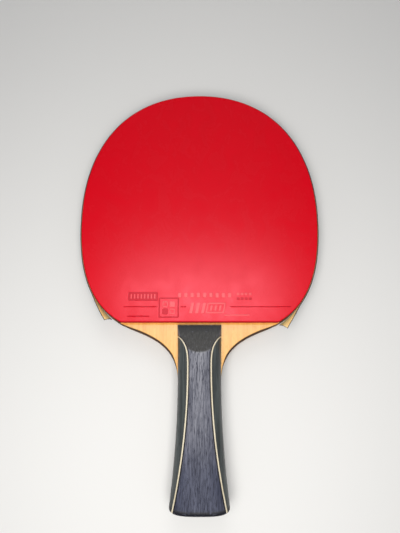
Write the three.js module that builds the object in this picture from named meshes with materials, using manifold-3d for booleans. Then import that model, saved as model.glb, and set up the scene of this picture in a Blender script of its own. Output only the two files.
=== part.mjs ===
// Table tennis paddle: a seven-ply blade, a glued rubber on each face, edge tape and a
// laminated flared handle.
// Frame: millimetres, +Z up. The blade lies flat, the head points to +Y and the handle
// to -Y, and the red rubber faces +Z. The origin is under the middle of the paddle's box.
import * as THREE from "three";
import { mergeVertices } from "three/addons/utils/BufferGeometryUtils.js";
import Module from "manifold-3d";

const wasm = await Module();
wasm.setup();

// ---- Head outline, as seen from above. The handle's upper end is at y = 0. ----
const headTipY = 157.7;
const headHalfWidth = 74;
const headWidestY = 70;
const tipFullness = 0.635; // how flat the tip is, as a share of the half width
const upperSideFullness = 0.593; // how straight the sides are above the widest place
const lowerSideFullness = 0.68; // and below it
const shoulderHalfWidth = 40.7; // where the head's curve turns into the neck's
const shoulderY = -1.7;
const shoulderSlope = THREE.MathUtils.degToRad(23.5);
const shoulderFullness = 0.58; // share of the width lost between the widest place and the shoulder
const neckEndY = -33.5; // where the neck has run into the handle's sides
const neckUpperReach = 0.42; // length of the neck curve's first handle, as a share of its width
const neckLowerReach = 0.7; // and of its second, as a share of its height
const headSteps = 24; // straight pieces in each of the head's two curves
const neckSteps = 10;

// ---- Blade plies ----
const coreThickness = 3.4;
const innerVeneerThickness = 0.6;
const fibreThickness = 0.2;
const faceVeneerThickness = 0.6;

// ---- Rubbers ----
const spongeThickness = 2.1;
const topsheetThickness = 1.9;
const rubberInset = 0.3; // how far the rubber is trimmed inside the blade's edge
const rubberGap = 1.6; // bare wood between the rubber and the handle

// ---- Edge tape ----
const tapeWidth = 12;
const tapeThickness = 0.5;
const tapeClearance = 0.1; // adhesive between the tape and the blade's edge
// Each end has come unstuck from the height peelY on. Its lean in degrees tips the lower
// edge towards the blade, and gap is what stays open there at the very end.
const leftTapeEnd = { peelY: 20, length: 18.4, gap: 0.9, lean: 9 };
const rightTapeEnd = { peelY: 13.5, length: 16.2, gap: 0.9, lean: 15 };

// ---- Handle ----
const gripLength = 101;
const gripTopHalfWidth = 13;
const gripWaistHalfWidth = 12.4;
const gripWaistY = -35;
const gripButtHalfWidth = 16.8;
const gripHalfThickness = 11.5; // middle of the blade to the crown, at the waist
const gripButtHalfThickness = 12.3;
const gripRoundness = 2.6; // 2 would be an ellipse, more is squarer
const buttBulge = 5.5; // length over which the butt's corners round off
const buttSquareness = 3.5;
const bevelLength = 16.5;
const bevelStep = 3; // height of the handle's upper end over the blade
const gripSteps = 24;
const gripArcSteps = 16;
const buttSteps = 10;

// ---- Laminations of each handle scale, each side of the middle ----
const inlayWaistInset = 5.8; // from the handle's side to the middle of the pale inlay
const inlayWaistY = -28; // where the two inlays are closest together
const inlayButtInset = 2;
const inlayRunOutY = -6.6; // where the inlay leaves through the handle's side
const inlayThickness = 0.8;
const darkLineThickness = 0.5;
const glueGap = 0.3;

const finishes = {
  coreWood: { color: 0x6e4a2e, roughness: 0.8 },
  innerVeneer: { color: 0x2e2019, roughness: 0.8 },
  fibre: { color: 0x3a3028, roughness: 0.7 },
  faceVeneer: { color: 0xf4d08a, roughness: 0.6 },
  sponge: { color: 0xd8545a, roughness: 0.95 },
  redTopsheet: { color: 0xc8141e, roughness: 0.35 },
  blackTopsheet: { color: 0x18181a, roughness: 0.35 },
  tape: { color: 0x17171a, roughness: 0.6 },
  gripCentre: { color: 0x74747f, roughness: 0.5 },
  darkLine: { color: 0x24262a, roughness: 0.5 },
  paleInlay: { color: 0xd0c8bb, roughness: 0.5 },
  sideBlock: { color: 0x505556, roughness: 0.5 },
};

const bladeHalf =
  coreThickness / 2 + innerVeneerThickness + fibreThickness + faceVeneerThickness;
const buttY = -gripLength;
const paddle = new THREE.Group();

// ---- Solids ----

// Adds one named piece with its own material.
function addPiece(name, geometry, finish) {
  const material = new THREE.MeshStandardMaterial({ metalness: 0, ...finishes[finish] });
  const mesh = new THREE.Mesh(geometry, material);
  mesh.name = name;
  paddle.add(mesh);
}

// The geometry with positions only, and with the vertices that share a place merged.
function closed(geometry) {
  geometry.deleteAttribute("normal");
  geometry.deleteAttribute("uv");
  return mergeVertices(geometry, 1e-4);
}

function solidFrom(closedGeometry) {
  return new wasm.Manifold(
    new wasm.Mesh({
      numProp: 3,
      vertProperties: closedGeometry.getAttribute("position").array,
      triVerts: new Uint32Array(closedGeometry.index.array),
    }),
  );
}

function geometryFrom(solid) {
  const mesh = solid.getMesh();
  const geometry = new THREE.BufferGeometry();
  geometry.setAttribute("position", new THREE.BufferAttribute(mesh.vertProperties, 3));
  geometry.setIndex(new THREE.BufferAttribute(mesh.triVerts, 1));
  return geometry;
}

// A flat sheet with the given outline between two heights. Both faces are set to the exact
// heights, so a sheet that starts where another ends shares its plane.
function slab(outline, low, high) {
  const geometry = new THREE.ExtrudeGeometry(new THREE.Shape(outline), {
    depth: 1,
    bevelEnabled: false,
  });
  const position = geometry.getAttribute("position");
  for (let i = 0; i < position.count; i++) {
    position.setZ(i, position.getZ(i) > 0.5 ? high : low);
  }
  return closed(geometry);
}

// Joins convex rings of equal size into one closed solid. Each ring runs counterclockwise
// about the direction in which the rings follow each other.
function loft(rings) {
  const size = rings[0].length;
  const positions = rings.flat().flatMap((point) => point.toArray());
  const triangles = [];
  for (let i = 0; i + 1 < rings.length; i++) {
    for (let j = 0; j < size; j++) {
      const next = (j + 1) % size;
      const a = i * size + j;
      const b = i * size + next;
      triangles.push(a, b, b + size, a, b + size, a + size);
    }
  }
  const last = (rings.length - 1) * size;
  for (let j = 1; j + 1 < size; j++) {
    triangles.push(0, j + 1, j, last, last + j, last + j + 1);
  }
  const geometry = new THREE.BufferGeometry();
  geometry.setAttribute("position", new THREE.Float32BufferAttribute(positions, 3));
  geometry.setIndex(triangles);
  return geometry;
}

// A prism with the given (y, z) outline, centred across x.
function crossPrism(profile, halfWidth) {
  const shape = new THREE.Shape(profile.map(([y, z]) => vec(y, z)));
  const geometry = new THREE.ExtrudeGeometry(shape, {
    depth: 2 * halfWidth,
    bevelEnabled: false,
  });
  geometry.translate(0, 0, -halfWidth);
  const turn = new THREE.Matrix4().makeBasis(
    new THREE.Vector3(0, 1, 0),
    new THREE.Vector3(0, 0, 1),
    new THREE.Vector3(1, 0, 0),
  );
  return closed(geometry.applyMatrix4(turn));
}

// ---- Outlines ----

function vec(x, y) {
  return new THREE.Vector2(x, y);
}

// The right-hand half of the head, from the tip round to the shoulder.
const shoulder = vec(shoulderHalfWidth, shoulderY);
const shoulderReach = shoulderFullness * (headHalfWidth - shoulderHalfWidth);
const shoulderHandle = vec(
  shoulder.x + shoulderReach * Math.cos(shoulderSlope),
  shoulder.y + shoulderReach * Math.sin(shoulderSlope),
);
const upperHead = new THREE.CubicBezierCurve(
  vec(0, headTipY),
  vec(tipFullness * headHalfWidth, headTipY),
  vec(headHalfWidth, headWidestY + upperSideFullness * (headTipY - headWidestY)),
  vec(headHalfWidth, headWidestY),
);
const lowerHead = new THREE.CubicBezierCurve(
  vec(headHalfWidth, headWidestY),
  vec(headHalfWidth, headWidestY - lowerSideFullness * (headWidestY - shoulderY)),
  shoulderHandle,
  shoulder,
);

// Samples of a curve with the outward normal at each.
function samples(curve, steps) {
  return Array.from({ length: steps + 1 }, (_, i) => {
    const tangent = curve.getTangent(i / steps);
    return { at: curve.getPoint(i / steps), out: vec(-tangent.y, tangent.x) };
  });
}

const headSamples = [
  ...samples(upperHead, headSteps),
  ...samples(lowerHead, headSteps).slice(1),
];

// The head's right-hand half moved outwards, or inwards where the distance is negative.
function offsetHead(distance) {
  return headSamples.map(({ at, out }) => at.clone().addScaledVector(out, distance));
}

function mirrored(points) {
  return points.map((point) => vec(-point.x, point.y)).reverse();
}

// Points of a right-hand half from the tip down to the height y, ending exactly there.
function cutBelow(points, y) {
  const first = points.findIndex((point) => point.y < y);
  const above = points[first - 1];
  const below = points[first];
  const share = (above.y - y) / (above.y - below.y);
  return [...points.slice(0, first), above.clone().lerp(below, share)];
}

// A whole outline, counterclockwise, from its right-hand half, which starts on the
// centreline at the top. The half may end on the centreline or away from it.
function wholeOutline(rightHalf) {
  const last = rightHalf[rightHalf.length - 1];
  const leftHalf = mirrored(last.x === 0 ? rightHalf.slice(0, -1) : rightHalf);
  return [...rightHalf, ...leftHalf.slice(0, -1)].reverse();
}

// ---- Handle profile ----

// Half width of the handle at height y: nearly straight above the waist, flared below it.
function gripHalfWidth(y) {
  if (y > gripWaistY) {
    const rise = (y - gripWaistY) / -gripWaistY;
    return gripWaistHalfWidth + (gripTopHalfWidth - gripWaistHalfWidth) * rise ** 2;
  }
  const drop = (gripWaistY - y) / (gripWaistY - buttY);
  return gripWaistHalfWidth + (gripButtHalfWidth - gripWaistHalfWidth) * drop ** 2;
}

function gripCrown(y) {
  const drop = Math.max(0, (gripWaistY - y) / (gripWaistY - buttY));
  return gripHalfThickness + (gripButtHalfThickness - gripHalfThickness) * drop ** 2;
}

// The butt's right-hand half, from the side to the centreline: a rounded corner that runs
// into a gentle bulge.
const buttStartY = buttY + buttBulge;
function buttCurve(halfWidth) {
  const corner = Array.from({ length: buttSteps }, (_, i) => {
    const angle = (i / buttSteps) * (Math.PI / 2);
    const across = Math.cos(angle) ** (2 / buttSquareness);
    const along = Math.sin(angle) ** (2 / buttSquareness);
    return vec(halfWidth * across, buttStartY - buttBulge * along);
  });
  return [...corner, vec(0, buttY)];
}

// ---- Blade ----

const neckEnd = vec(gripHalfWidth(neckEndY), neckEndY);
const neckReach = neckUpperReach * (shoulder.x - neckEnd.x);
const neck = new THREE.CubicBezierCurve(
  shoulder,
  vec(
    shoulder.x - neckReach * Math.cos(shoulderSlope),
    shoulder.y - neckReach * Math.sin(shoulderSlope),
  ),
  vec(neckEnd.x, neckEnd.y + neckLowerReach * (shoulder.y - neckEnd.y)),
  neckEnd,
);

// The handle's right-hand side between two heights.
function gripSide(fromY, toY) {
  return Array.from({ length: gripSteps / 2 + 1 }, (_, i) => {
    const y = fromY + (toY - fromY) * (i / (gripSteps / 2));
    return vec(gripHalfWidth(y), y);
  });
}

const bladeOutline = wholeOutline([
  ...offsetHead(0),
  ...samples(neck, neckSteps).slice(1).map(({ at }) => at),
  ...gripSide(neckEndY, buttStartY).slice(1),
  ...buttCurve(gripHalfWidth(buttStartY)).slice(1),
]);

// Sheets glued one on the other, outwards from the given height, on the front and the back.
function addStack(sheets, outline, from) {
  let inner = from;
  for (const { name, thickness, front, back } of sheets) {
    const outer = inner + thickness;
    addPiece(`front_${name}`, slab(outline, inner, outer), front);
    addPiece(`back_${name}`, slab(outline, -outer, -inner), back);
    inner = outer;
  }
}

addPiece("core_ply", slab(bladeOutline, -coreThickness / 2, coreThickness / 2), "coreWood");
addStack(
  [
    {
      name: "inner_veneer",
      thickness: innerVeneerThickness,
      front: "innerVeneer",
      back: "innerVeneer",
    },
    { name: "fibre_sheet", thickness: fibreThickness, front: "fibre", back: "fibre" },
    {
      name: "face_veneer",
      thickness: faceVeneerThickness,
      front: "faceVeneer",
      back: "faceVeneer",
    },
  ],
  bladeOutline,
  coreThickness / 2,
);

// ---- Rubbers ----

const rubberOutline = wholeOutline(cutBelow(offsetHead(-rubberInset), rubberGap));
addStack(
  [
    { name: "sponge", thickness: spongeThickness, front: "sponge", back: "sponge" },
    {
      name: "topsheet",
      thickness: topsheetThickness,
      front: "redTopsheet",
      back: "blackTopsheet",
    },
  ],
  rubberOutline,
  bladeHalf,
);

// ---- Edge tape ----

// Places along the right-hand half of the head where the tape is bent, from the tip to the
// tape's end, with the outward normal and the length of edge passed since the tip.
function tapePath({ peelY, length }) {
  const passed = [{ ...headSamples[0], run: 0 }];
  for (const { at, out } of headSamples.slice(1)) {
    const last = passed[passed.length - 1];
    passed.push({ at, out, run: last.run + at.distanceTo(last.at) });
  }
  const below = passed.findIndex(({ at }) => at.y < peelY);
  const [upper, lower] = [passed[below - 1], passed[below]];
  const peelShare = (upper.at.y - peelY) / (upper.at.y - lower.at.y);
  const peelRun = THREE.MathUtils.lerp(upper.run, lower.run, peelShare);
  const endRun = peelRun + length;
  const past = passed.findIndex(({ run }) => run > endRun);
  const [before, after] = [passed[past - 1], passed[past]];
  const endShare = (endRun - before.run) / (after.run - before.run);
  const end = {
    at: before.at.clone().lerp(after.at, endShare),
    out: before.out.clone().lerp(after.out, endShare).normalize(),
    run: endRun,
  };
  return { peelRun, path: [...passed.slice(0, past), end] };
}

// The tape's section at each place on its path: inner and outer face, lower and upper edge.
// Past the peel the tape swings away from the blade and leans.
function tapeSections(end) {
  const half = tapeWidth / 2;
  const fullLean = THREE.MathUtils.degToRad(end.lean);
  const swing = end.gap + half * Math.sin(fullLean);
  const { peelRun, path } = tapePath(end);
  return path.map(({ at, out, run }) => {
    const share = Math.max(0, (run - peelRun) / end.length) ** 2;
    const lean = fullLean * share;
    const corner = (depth, height) => {
      const reach = depth * Math.cos(lean) + height * Math.sin(lean);
      const place = at.clone().addScaledVector(out, tapeClearance + swing * share + reach);
      const z = height * Math.cos(lean) - depth * Math.sin(lean);
      return new THREE.Vector3(place.x, place.y, z);
    };
    return [
      corner(0, -half),
      corner(tapeThickness, -half),
      corner(tapeThickness, half),
      corner(0, half),
    ];
  });
}

// A section on the left-hand half, with its corners still counterclockwise along the tape.
function mirroredSection(section) {
  return section.map(({ x, y, z }) => new THREE.Vector3(-x, y, z));
}

const leftTape = tapeSections(leftTapeEnd).map(mirroredSection).reverse();
const rightTape = tapeSections(rightTapeEnd).slice(1);
addPiece("edge_tape", loft([...leftTape, ...rightTape]), "tape");

// ---- Handle scales ----

// Heights along the handle at which its surfaces are sampled, from the butt to the top.
const gripStations = Array.from(
  { length: gripSteps + 1 },
  (_, i) => buttY + gripLength * (i / gripSteps),
);

// One scale before it is divided: a crowned bar on the blade's face, rounded at the butt and
// bevelled down towards the rubber.
function carvedScale() {
  const rings = gripStations.map((y) => {
    const width = gripHalfWidth(y);
    const height = gripCrown(y) - bladeHalf;
    return Array.from({ length: gripArcSteps + 1 }, (_, i) => {
      const angle = Math.PI * (1 - i / gripArcSteps);
      const across = Math.sign(Math.cos(angle)) * Math.abs(Math.cos(angle)) ** (2 / gripRoundness);
      const up = Math.abs(Math.sin(angle)) ** (2 / gripRoundness);
      return new THREE.Vector3(width * across, y, bladeHalf + height * up);
    });
  });
  const bar = solidFrom(loft(rings));

  const room = gripButtHalfWidth + gripButtHalfThickness;
  const plan = [
    vec(0, gripLength),
    vec(room, gripLength),
    vec(room, buttStartY),
    ...buttCurve(gripHalfWidth(buttStartY)),
  ];
  const buttShape = solidFrom(slab(wholeOutline(plan), 0, room));

  const bevelRise = gripHalfThickness - bladeHalf - bevelStep;
  const slope = bevelRise / bevelLength;
  const above = (y) => bladeHalf + bevelStep - slope * y;
  const overhang = bevelLength / 3;
  const bevelCut = solidFrom(
    crossPrism(
      [
        [overhang, above(overhang)],
        [overhang, above(-2 * bevelLength)],
        [-2 * bevelLength, above(-2 * bevelLength)],
      ],
      room,
    ),
  );
  return bar.intersect(buttShape).subtract(bevelCut);
}

// Distance from the centreline to the middle of the pale inlay: least near the top of the
// handle, running out towards the corners of the butt and through the sides of the bevel.
const inlayWaistOffset = gripHalfWidth(inlayWaistY) - inlayWaistInset;
const inlayButtOffset = gripButtHalfWidth - inlayButtInset;
const inlayRunOutOffset = gripHalfWidth(inlayRunOutY);
function inlayOffset(y) {
  if (y < inlayWaistY) {
    const drop = (inlayWaistY - y) / (inlayWaistY - buttY);
    return inlayWaistOffset + (inlayButtOffset - inlayWaistOffset) * drop ** 2;
  }
  const rise = (y - inlayWaistY) / (inlayRunOutY - inlayWaistY);
  return inlayWaistOffset + (inlayRunOutOffset - inlayWaistOffset) * rise ** 4;
}

// The room between two upright surfaces, each given by its x at every height y.
function laminationRoom(leftFace, rightFace) {
  const low = 0;
  const high = 2 * gripButtHalfThickness;
  const rings = gripStations.map((y) => {
    const left = leftFace(y);
    const right = rightFace(y);
    return [
      new THREE.Vector3(left, y, low),
      new THREE.Vector3(left, y, high),
      new THREE.Vector3(right, y, high),
      new THREE.Vector3(right, y, low),
    ];
  });
  return solidFrom(loft(rings));
}

const inlayHalf = inlayThickness / 2;
const lineOuter = -inlayHalf - glueGap;
const lineInner = lineOuter - darkLineThickness;
const centreFace = lineInner - glueGap;
const sideFace = inlayHalf + glueGap;
const beyondSide = 2 * gripButtHalfWidth;

// Each lamination of one side, by its distances from the middle of the inlay.
const laminations = [
  { name: "dark_line", from: lineInner, to: lineOuter, finish: "darkLine" },
  { name: "pale_inlay", from: -inlayHalf, to: inlayHalf, finish: "paleInlay" },
  { name: "side_block", from: sideFace, to: beyondSide, finish: "sideBlock" },
];

const scale = carvedScale();

function addGripPiece(face, name, room, finish) {
  const geometry = geometryFrom(scale.intersect(room));
  if (face === "back") geometry.scale(-1, 1, -1);
  addPiece(`${face}_${name}`, geometry, finish);
}

for (const face of ["front", "back"]) {
  const centreRoom = laminationRoom(
    (y) => -inlayOffset(y) - centreFace,
    (y) => inlayOffset(y) + centreFace,
  );
  addGripPiece(face, "grip_centre", centreRoom, "gripCentre");
  for (const { name, from, to, finish } of laminations) {
    const right = laminationRoom(
      (y) => inlayOffset(y) + from,
      (y) => inlayOffset(y) + to,
    );
    const left = laminationRoom(
      (y) => -inlayOffset(y) - to,
      (y) => -inlayOffset(y) - from,
    );
    // The back scale is the front one turned over, so its sides change places.
    const sides = face === "front" ? { left, right } : { left: right, right: left };
    addGripPiece(face, `${name}_left`, sides.left, finish);
    addGripPiece(face, `${name}_right`, sides.right, finish);
  }
}

// ---- Frame ----

// The origin is under the middle of the paddle's box.
const box = new THREE.Box3().setFromObject(paddle);
const middle = box.getCenter(new THREE.Vector3());
paddle.position.set(-middle.x, -middle.y, -box.min.z);

export default paddle;
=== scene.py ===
"""Table tennis paddle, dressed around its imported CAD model.

The paddle is glued up from plies, rubbers, edge tape and laminated handle scales. Each of
them is a class below that builds its pieces in the CAD frame and gives them their finish.
Lengths are in metres. Shapes are first drawn about the upper end of the handle and the
middle of the blade, and then put in place from the boxes of the CAD nodes.
"""

import logging
import math
from collections.abc import Callable, Iterable, Sequence
from dataclasses import dataclass
from enum import Enum

import bmesh
import bpy
import numpy as np
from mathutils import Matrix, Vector, noise


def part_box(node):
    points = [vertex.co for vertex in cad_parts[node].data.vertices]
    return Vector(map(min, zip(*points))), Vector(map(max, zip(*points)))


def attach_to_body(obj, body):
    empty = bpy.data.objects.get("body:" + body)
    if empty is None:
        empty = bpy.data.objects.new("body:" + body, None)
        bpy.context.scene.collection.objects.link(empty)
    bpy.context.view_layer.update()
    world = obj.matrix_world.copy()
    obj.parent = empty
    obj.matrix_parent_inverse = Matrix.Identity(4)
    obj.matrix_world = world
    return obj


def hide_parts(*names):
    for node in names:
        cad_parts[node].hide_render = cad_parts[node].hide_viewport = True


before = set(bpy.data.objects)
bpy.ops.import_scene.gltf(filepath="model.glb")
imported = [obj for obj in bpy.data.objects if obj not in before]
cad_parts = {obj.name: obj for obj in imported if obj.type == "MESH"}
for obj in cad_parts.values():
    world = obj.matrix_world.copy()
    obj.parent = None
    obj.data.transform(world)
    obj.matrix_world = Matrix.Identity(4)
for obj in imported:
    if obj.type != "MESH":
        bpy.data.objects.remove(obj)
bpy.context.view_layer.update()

MM = 0.001
BODY = "root"
LOG = logging.getLogger("paddle")

PIMPLE_PITCH = 2.1 * MM  # between the pimples moulded under each rubber's skin
RAY_HEIGHT = 5 * MM  # how far above the pimples' bed the search for it starts
MERGE_DISTANCE = 1e-7  # points closer than this are one
MOST_EASE = 0.4  # largest radius of a sheet's edges, as a share of its thickness
SHARP_ANGLE = 38.0  # edges that bend more than this many degrees stay sharp

Point = tuple[float, float, float]
Ring = list[Point]
Faces = list[tuple[int, ...]]
Colour = tuple[float, float, float]
Socket = bpy.types.NodeSocket
Material = bpy.types.Material

WHITE: Colour = (1.0, 1.0, 1.0)


def linear(red: int, green: int, blue: int) -> Colour:
    """The linear colour of three display values from 0 to 255.

    Args:
        red: Display red.
        green: Display green.
        blue: Display blue.

    Returns:
        The colour as three linear shares.
    """
    return tuple(
        v / 12.92 if v <= 0.04045 else ((v + 0.055) / 1.055) ** 2.4
        for v in (red / 255, green / 255, blue / 255)
    )


def shaded(colour: Colour, factor: float, lift: float = 0.0) -> Colour:
    """A darker or paler shade of a colour.

    Args:
        colour: The colour.
        factor: What it is multiplied by.
        lift: What is added to it then.

    Returns:
        The shade, no brighter than white.
    """
    return tuple(min(1.0, c * factor + lift) for c in colour)


class Face(Enum):
    """The two faces of the paddle: red rubber in front, black rubber behind."""

    FRONT = "front"
    BACK = "back"

    @property
    def turn(self) -> float:
        """The sign that carries a shape drawn for the front over to this face."""
        return 1.0 if self is Face.FRONT else -1.0


class Side(Enum):
    """Left or right, as the red face is seen with the handle down."""

    LEFT = "left"
    RIGHT = "right"

    @property
    def sign(self) -> float:
        """The sign of x on this side."""
        return 1.0 if self is Side.RIGHT else -1.0


class GripPart(Enum):
    """The kinds of lamination in a scale of the handle."""

    CENTRE = "grip_centre"
    LINE = "dark_line"
    INLAY = "pale_inlay"
    SIDE = "side_block"


class GrainMark(Enum):
    """Attributes of wood that is cut across its grain: how far, and how near the cut's outer edge; near
    the butt they also carry painted shade.
    """

    CUT = "end_cut"
    EDGE = "end_edge"


# ---------------------------------------------------------------- finishes


class Recipe:
    """A material's node tree while it is put together."""

    MIX_FIRST, MIX_SECOND, MIX_RESULT = 6, 7, 2  # a Mix node's colour sockets, whose names repeat

    def __init__(self, name: str) -> None:
        """Starts a material with a Principled BSDF and object coordinates.

        Args:
            name: The material's name.
        """
        self.material = bpy.data.materials.new(name)
        self.material.use_nodes = True
        self.tree = self.material.node_tree
        self.shader = self.tree.nodes["Principled BSDF"]
        self.coordinates = self.tree.nodes.new("ShaderNodeTexCoord").outputs["Object"]

    def plug(self, source: Socket | float | Sequence[float], target: Socket) -> None:
        """Links a socket to a target, or sets the target where a plain value is given.

        Args:
            source: An output socket, a number or a colour.
            target: The input socket.
        """
        if isinstance(source, Socket):
            self.tree.links.new(source, target)
        elif isinstance(source, (int, float)):
            target.default_value = source
        else:
            width = len(target.default_value)
            target.default_value = (*source, 1.0)[:width]

    def stretched(self, scale: Sequence[float], shift: Sequence[float] = (0, 0, 0)) -> Socket:
        """Object coordinates scaled along each axis.

        Args:
            scale: Repeats per metre along x, y and z.
            shift: Offset in repeats.

        Returns:
            The mapped vector.
        """
        node = self.tree.nodes.new("ShaderNodeMapping")
        node.inputs["Scale"].default_value = scale
        node.inputs["Location"].default_value = shift
        self.plug(self.coordinates, node.inputs["Vector"])
        return node.outputs["Vector"]

    def noise(
        self, scale: Sequence[float], detail: float = 3.0, rough: float = 0.5, warp: float = 0.0
    ) -> Socket:
        """Fractal noise stretched along the axes.

        Args:
            scale: Repeats per metre along x, y and z.
            detail: Number of octaves.
            rough: Strength of the finer octaves.
            warp: Distortion of the noise.

        Returns:
            The noise, from 0 to 1.
        """
        node = self.tree.nodes.new("ShaderNodeTexNoise")
        self.plug(self.stretched(scale), node.inputs["Vector"])
        node.inputs["Scale"].default_value = 1.0
        node.inputs["Detail"].default_value = detail
        node.inputs["Roughness"].default_value = rough
        node.inputs["Distortion"].default_value = warp
        return node.outputs["Fac"]

    def cells(
        self, scale: Sequence[float], randomness: float = 1.0, shift: Sequence[float] = (0, 0, 0)
    ) -> Socket:
        """Distance to the nearest point of a cell pattern.

        Args:
            scale: Cells per metre along x, y and z.
            randomness: 0 for a regular grid, 1 for scattered points.
            shift: Offset in cells.

        Returns:
            The distance, about 0 at a point and 0.5 between points.
        """
        node = self.tree.nodes.new("ShaderNodeTexVoronoi")
        self.plug(self.stretched(scale, shift), node.inputs["Vector"])
        node.inputs["Scale"].default_value = 1.0
        node.inputs["Randomness"].default_value = randomness
        return node.outputs["Distance"]

    def ramp(
        self, source: Socket, low: float, high: float, start: float = 0.0, end: float = 1.0
    ) -> Socket:
        """A value carried from one range to another, with soft ends.

        Args:
            source: The value.
            low: Where the change starts.
            high: Where it ends.
            start: The result on low's side.
            end: The result on high's side.

        Returns:
            The new value.
        """
        node = self.tree.nodes.new("ShaderNodeMapRange")
        node.interpolation_type = "SMOOTHSTEP"
        self.plug(source, node.inputs["Value"])
        for name, value in zip(("From Min", "From Max", "To Min", "To Max"), (low, high, start, end)):
            node.inputs[name].default_value = value
        return node.outputs["Result"]

    def sums(self, operation: str, *values: Socket | float) -> Socket:
        """One arithmetic step.

        Args:
            operation: The Math node's operation.
            *values: Its inputs.

        Returns:
            The result.
        """
        node = self.tree.nodes.new("ShaderNodeMath")
        node.operation = operation
        for value, target in zip(values, node.inputs):
            self.plug(value, target)
        return node.outputs["Value"]

    def blend(
        self, share: Socket | float, first: Colour | Socket, second: Colour | Socket, how: str = "MIX"
    ) -> Socket:
        """A colour made from two others.

        Args:
            share: 0 for the first, 1 for the second or for the full effect.
            first: The first colour.
            second: The second colour.
            how: The Mix node's way of blending.

        Returns:
            The new colour.
        """
        node = self.tree.nodes.new("ShaderNodeMix")
        node.data_type = "RGBA"
        node.blend_type = how
        self.plug(share, node.inputs["Factor"])
        self.plug(first, node.inputs[self.MIX_FIRST])
        self.plug(second, node.inputs[self.MIX_SECOND])
        return node.outputs[self.MIX_RESULT]

    def height(self, axis: str) -> Socket:
        """One coordinate of the row frame.

        Args:
            axis: X, Y along the handle or Z out of the red face.

        Returns:
            The coordinate in metres.
        """
        node = self.tree.nodes.new("ShaderNodeSeparateXYZ")
        self.plug(self.coordinates, node.inputs[0])
        return node.outputs[axis]

    def attribute(self, mark: GrainMark) -> Socket:
        """The value of a mesh attribute.

        Args:
            mark: The attribute.

        Returns:
            Its value.
        """
        node = self.tree.nodes.new("ShaderNodeAttribute")
        node.attribute_name = mark.value
        return node.outputs["Fac"]

    def relief(self, height: Socket, depth: float) -> None:
        """Raises the surface by a height pattern, on top of any earlier relief.

        Args:
            height: The pattern, from 0 to 1.
            depth: Its depth in metres.
        """
        node = self.tree.nodes.new("ShaderNodeBump")
        node.inputs["Strength"].default_value = 1.0
        node.inputs["Distance"].default_value = depth
        self.plug(height, node.inputs["Height"])
        earlier = self.shader.inputs["Normal"].links
        if earlier:
            self.plug(earlier[0].from_socket, node.inputs["Normal"])
        self.plug(node.outputs["Normal"], self.shader.inputs["Normal"])

    def finish(
        self, colour: Colour | Socket, rough: float | Socket, **uniform: float | Colour
    ) -> Material:
        """Sets the shader's main inputs.

        Args:
            colour: Base colour.
            rough: Roughness.
            **uniform: Other Principled inputs, with underscores for spaces.

        Returns:
            The finished material.
        """
        self.plug(colour, self.shader.inputs["Base Color"])
        self.plug(rough, self.shader.inputs["Roughness"])
        for name, value in uniform.items():
            self.plug(value, self.shader.inputs[name.replace("_", " ")])
        return self.material


@dataclass(frozen=True)
class Wood:
    """Straight-grained wood, bare or dyed, with its grain along y.

    Attributes:
        name: Material name.
        dark: Colour of the late wood and the streaks.
        light: Colour of the early wood.
        pore: Colour in the open pores.
        streak: Width of a streak in metres.
        pore_width: Width of a pore in metres.
        pore_share: How much of the surface the pores take, from 0 to 1.
        rough: Roughness of the finish.
        coat: Strength of a lacquer over the wood.
        depth: Depth of the open grain in metres.
        end_cut: Colour where the wood is cut across its grain, if any part of it is.
        end_edge: Colour at the outer edges of that cut.
        tone_change: Share of its brightness left near the butt, where the colour is painted darker and
            bluer as painted shade.
        painted_shade_from: y in the row frame where the painted shade starts.
        painted_shade_to: y where it is darkest.
    """

    name: str
    dark: Colour
    light: Colour
    pore: Colour
    streak: float = 1.6 * MM
    pore_width: float = 0.28 * MM
    pore_share: float = 0.35
    rough: float = 0.5
    coat: float = 0.0
    depth: float = 0.04 * MM
    end_cut: Colour | None = None
    end_edge: Colour | None = None
    tone_change: float = 1.0
    painted_shade_from: float = -84 * MM
    painted_shade_to: float = -112 * MM

    def make(self) -> Material:
        """Builds the material.

        Returns:
            The material.
        """
        recipe = Recipe(self.name)
        broad = 1 / self.streak
        fine = 1 / self.pore_width
        streaks = recipe.noise((broad, broad / 34, broad / 2), 4.0, 0.62, 0.25)
        drift = recipe.noise((broad / 7, broad / 60, broad / 7), 2.0, 0.5)
        tone = recipe.sums("MULTIPLY_ADD", streaks, 0.75, recipe.sums("MULTIPLY", drift, 0.3))
        share = recipe.ramp(tone, 0.34, 0.7)
        pores = recipe.noise((fine, fine / 16, fine / 2), 2.0, 0.6)
        edge = 0.46 + 0.2 * (1 - self.pore_share)
        open_pore = recipe.ramp(pores, edge, edge + 0.1)
        colour = recipe.blend(share, self.dark, self.light)
        colour = recipe.blend(recipe.sums("MULTIPLY", open_pore, 0.75), colour, self.pore)
        # Towards the butt the colour is painted darker and bluer: painted shade.
        if self.tone_change < 1.0:
            cool = (0.92, 0.98, 1.2)
            painted_shade_colour = recipe.blend(1.0, colour, tuple(self.tone_change * c for c in cool), "MULTIPLY")
            low = recipe.ramp(recipe.height("Y"), self.painted_shade_from, self.painted_shade_to)
            colour = recipe.blend(low, colour, painted_shade_colour)
        if self.end_cut is not None:
            speckle = recipe.noise((fine * 0.7, fine * 0.12, fine * 0.3), 3.0, 0.65)
            deeper = shaded(self.end_cut, 0.55)
            across = recipe.blend(recipe.ramp(speckle, 0.42, 0.66), self.end_cut, deeper)
            across = recipe.blend(recipe.attribute(GrainMark.EDGE), across, self.end_edge)
            colour = recipe.blend(recipe.attribute(GrainMark.CUT), colour, across)
        hollow = recipe.sums("SUBTRACT", recipe.sums("MULTIPLY", streaks, 0.4), open_pore)
        recipe.relief(hollow, self.depth)
        rough = recipe.ramp(open_pore, 0.0, 1.0, self.rough, min(1.0, self.rough + 0.2))
        return recipe.finish(colour, rough, Coat_Weight=self.coat, Coat_Roughness=0.25)


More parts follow.
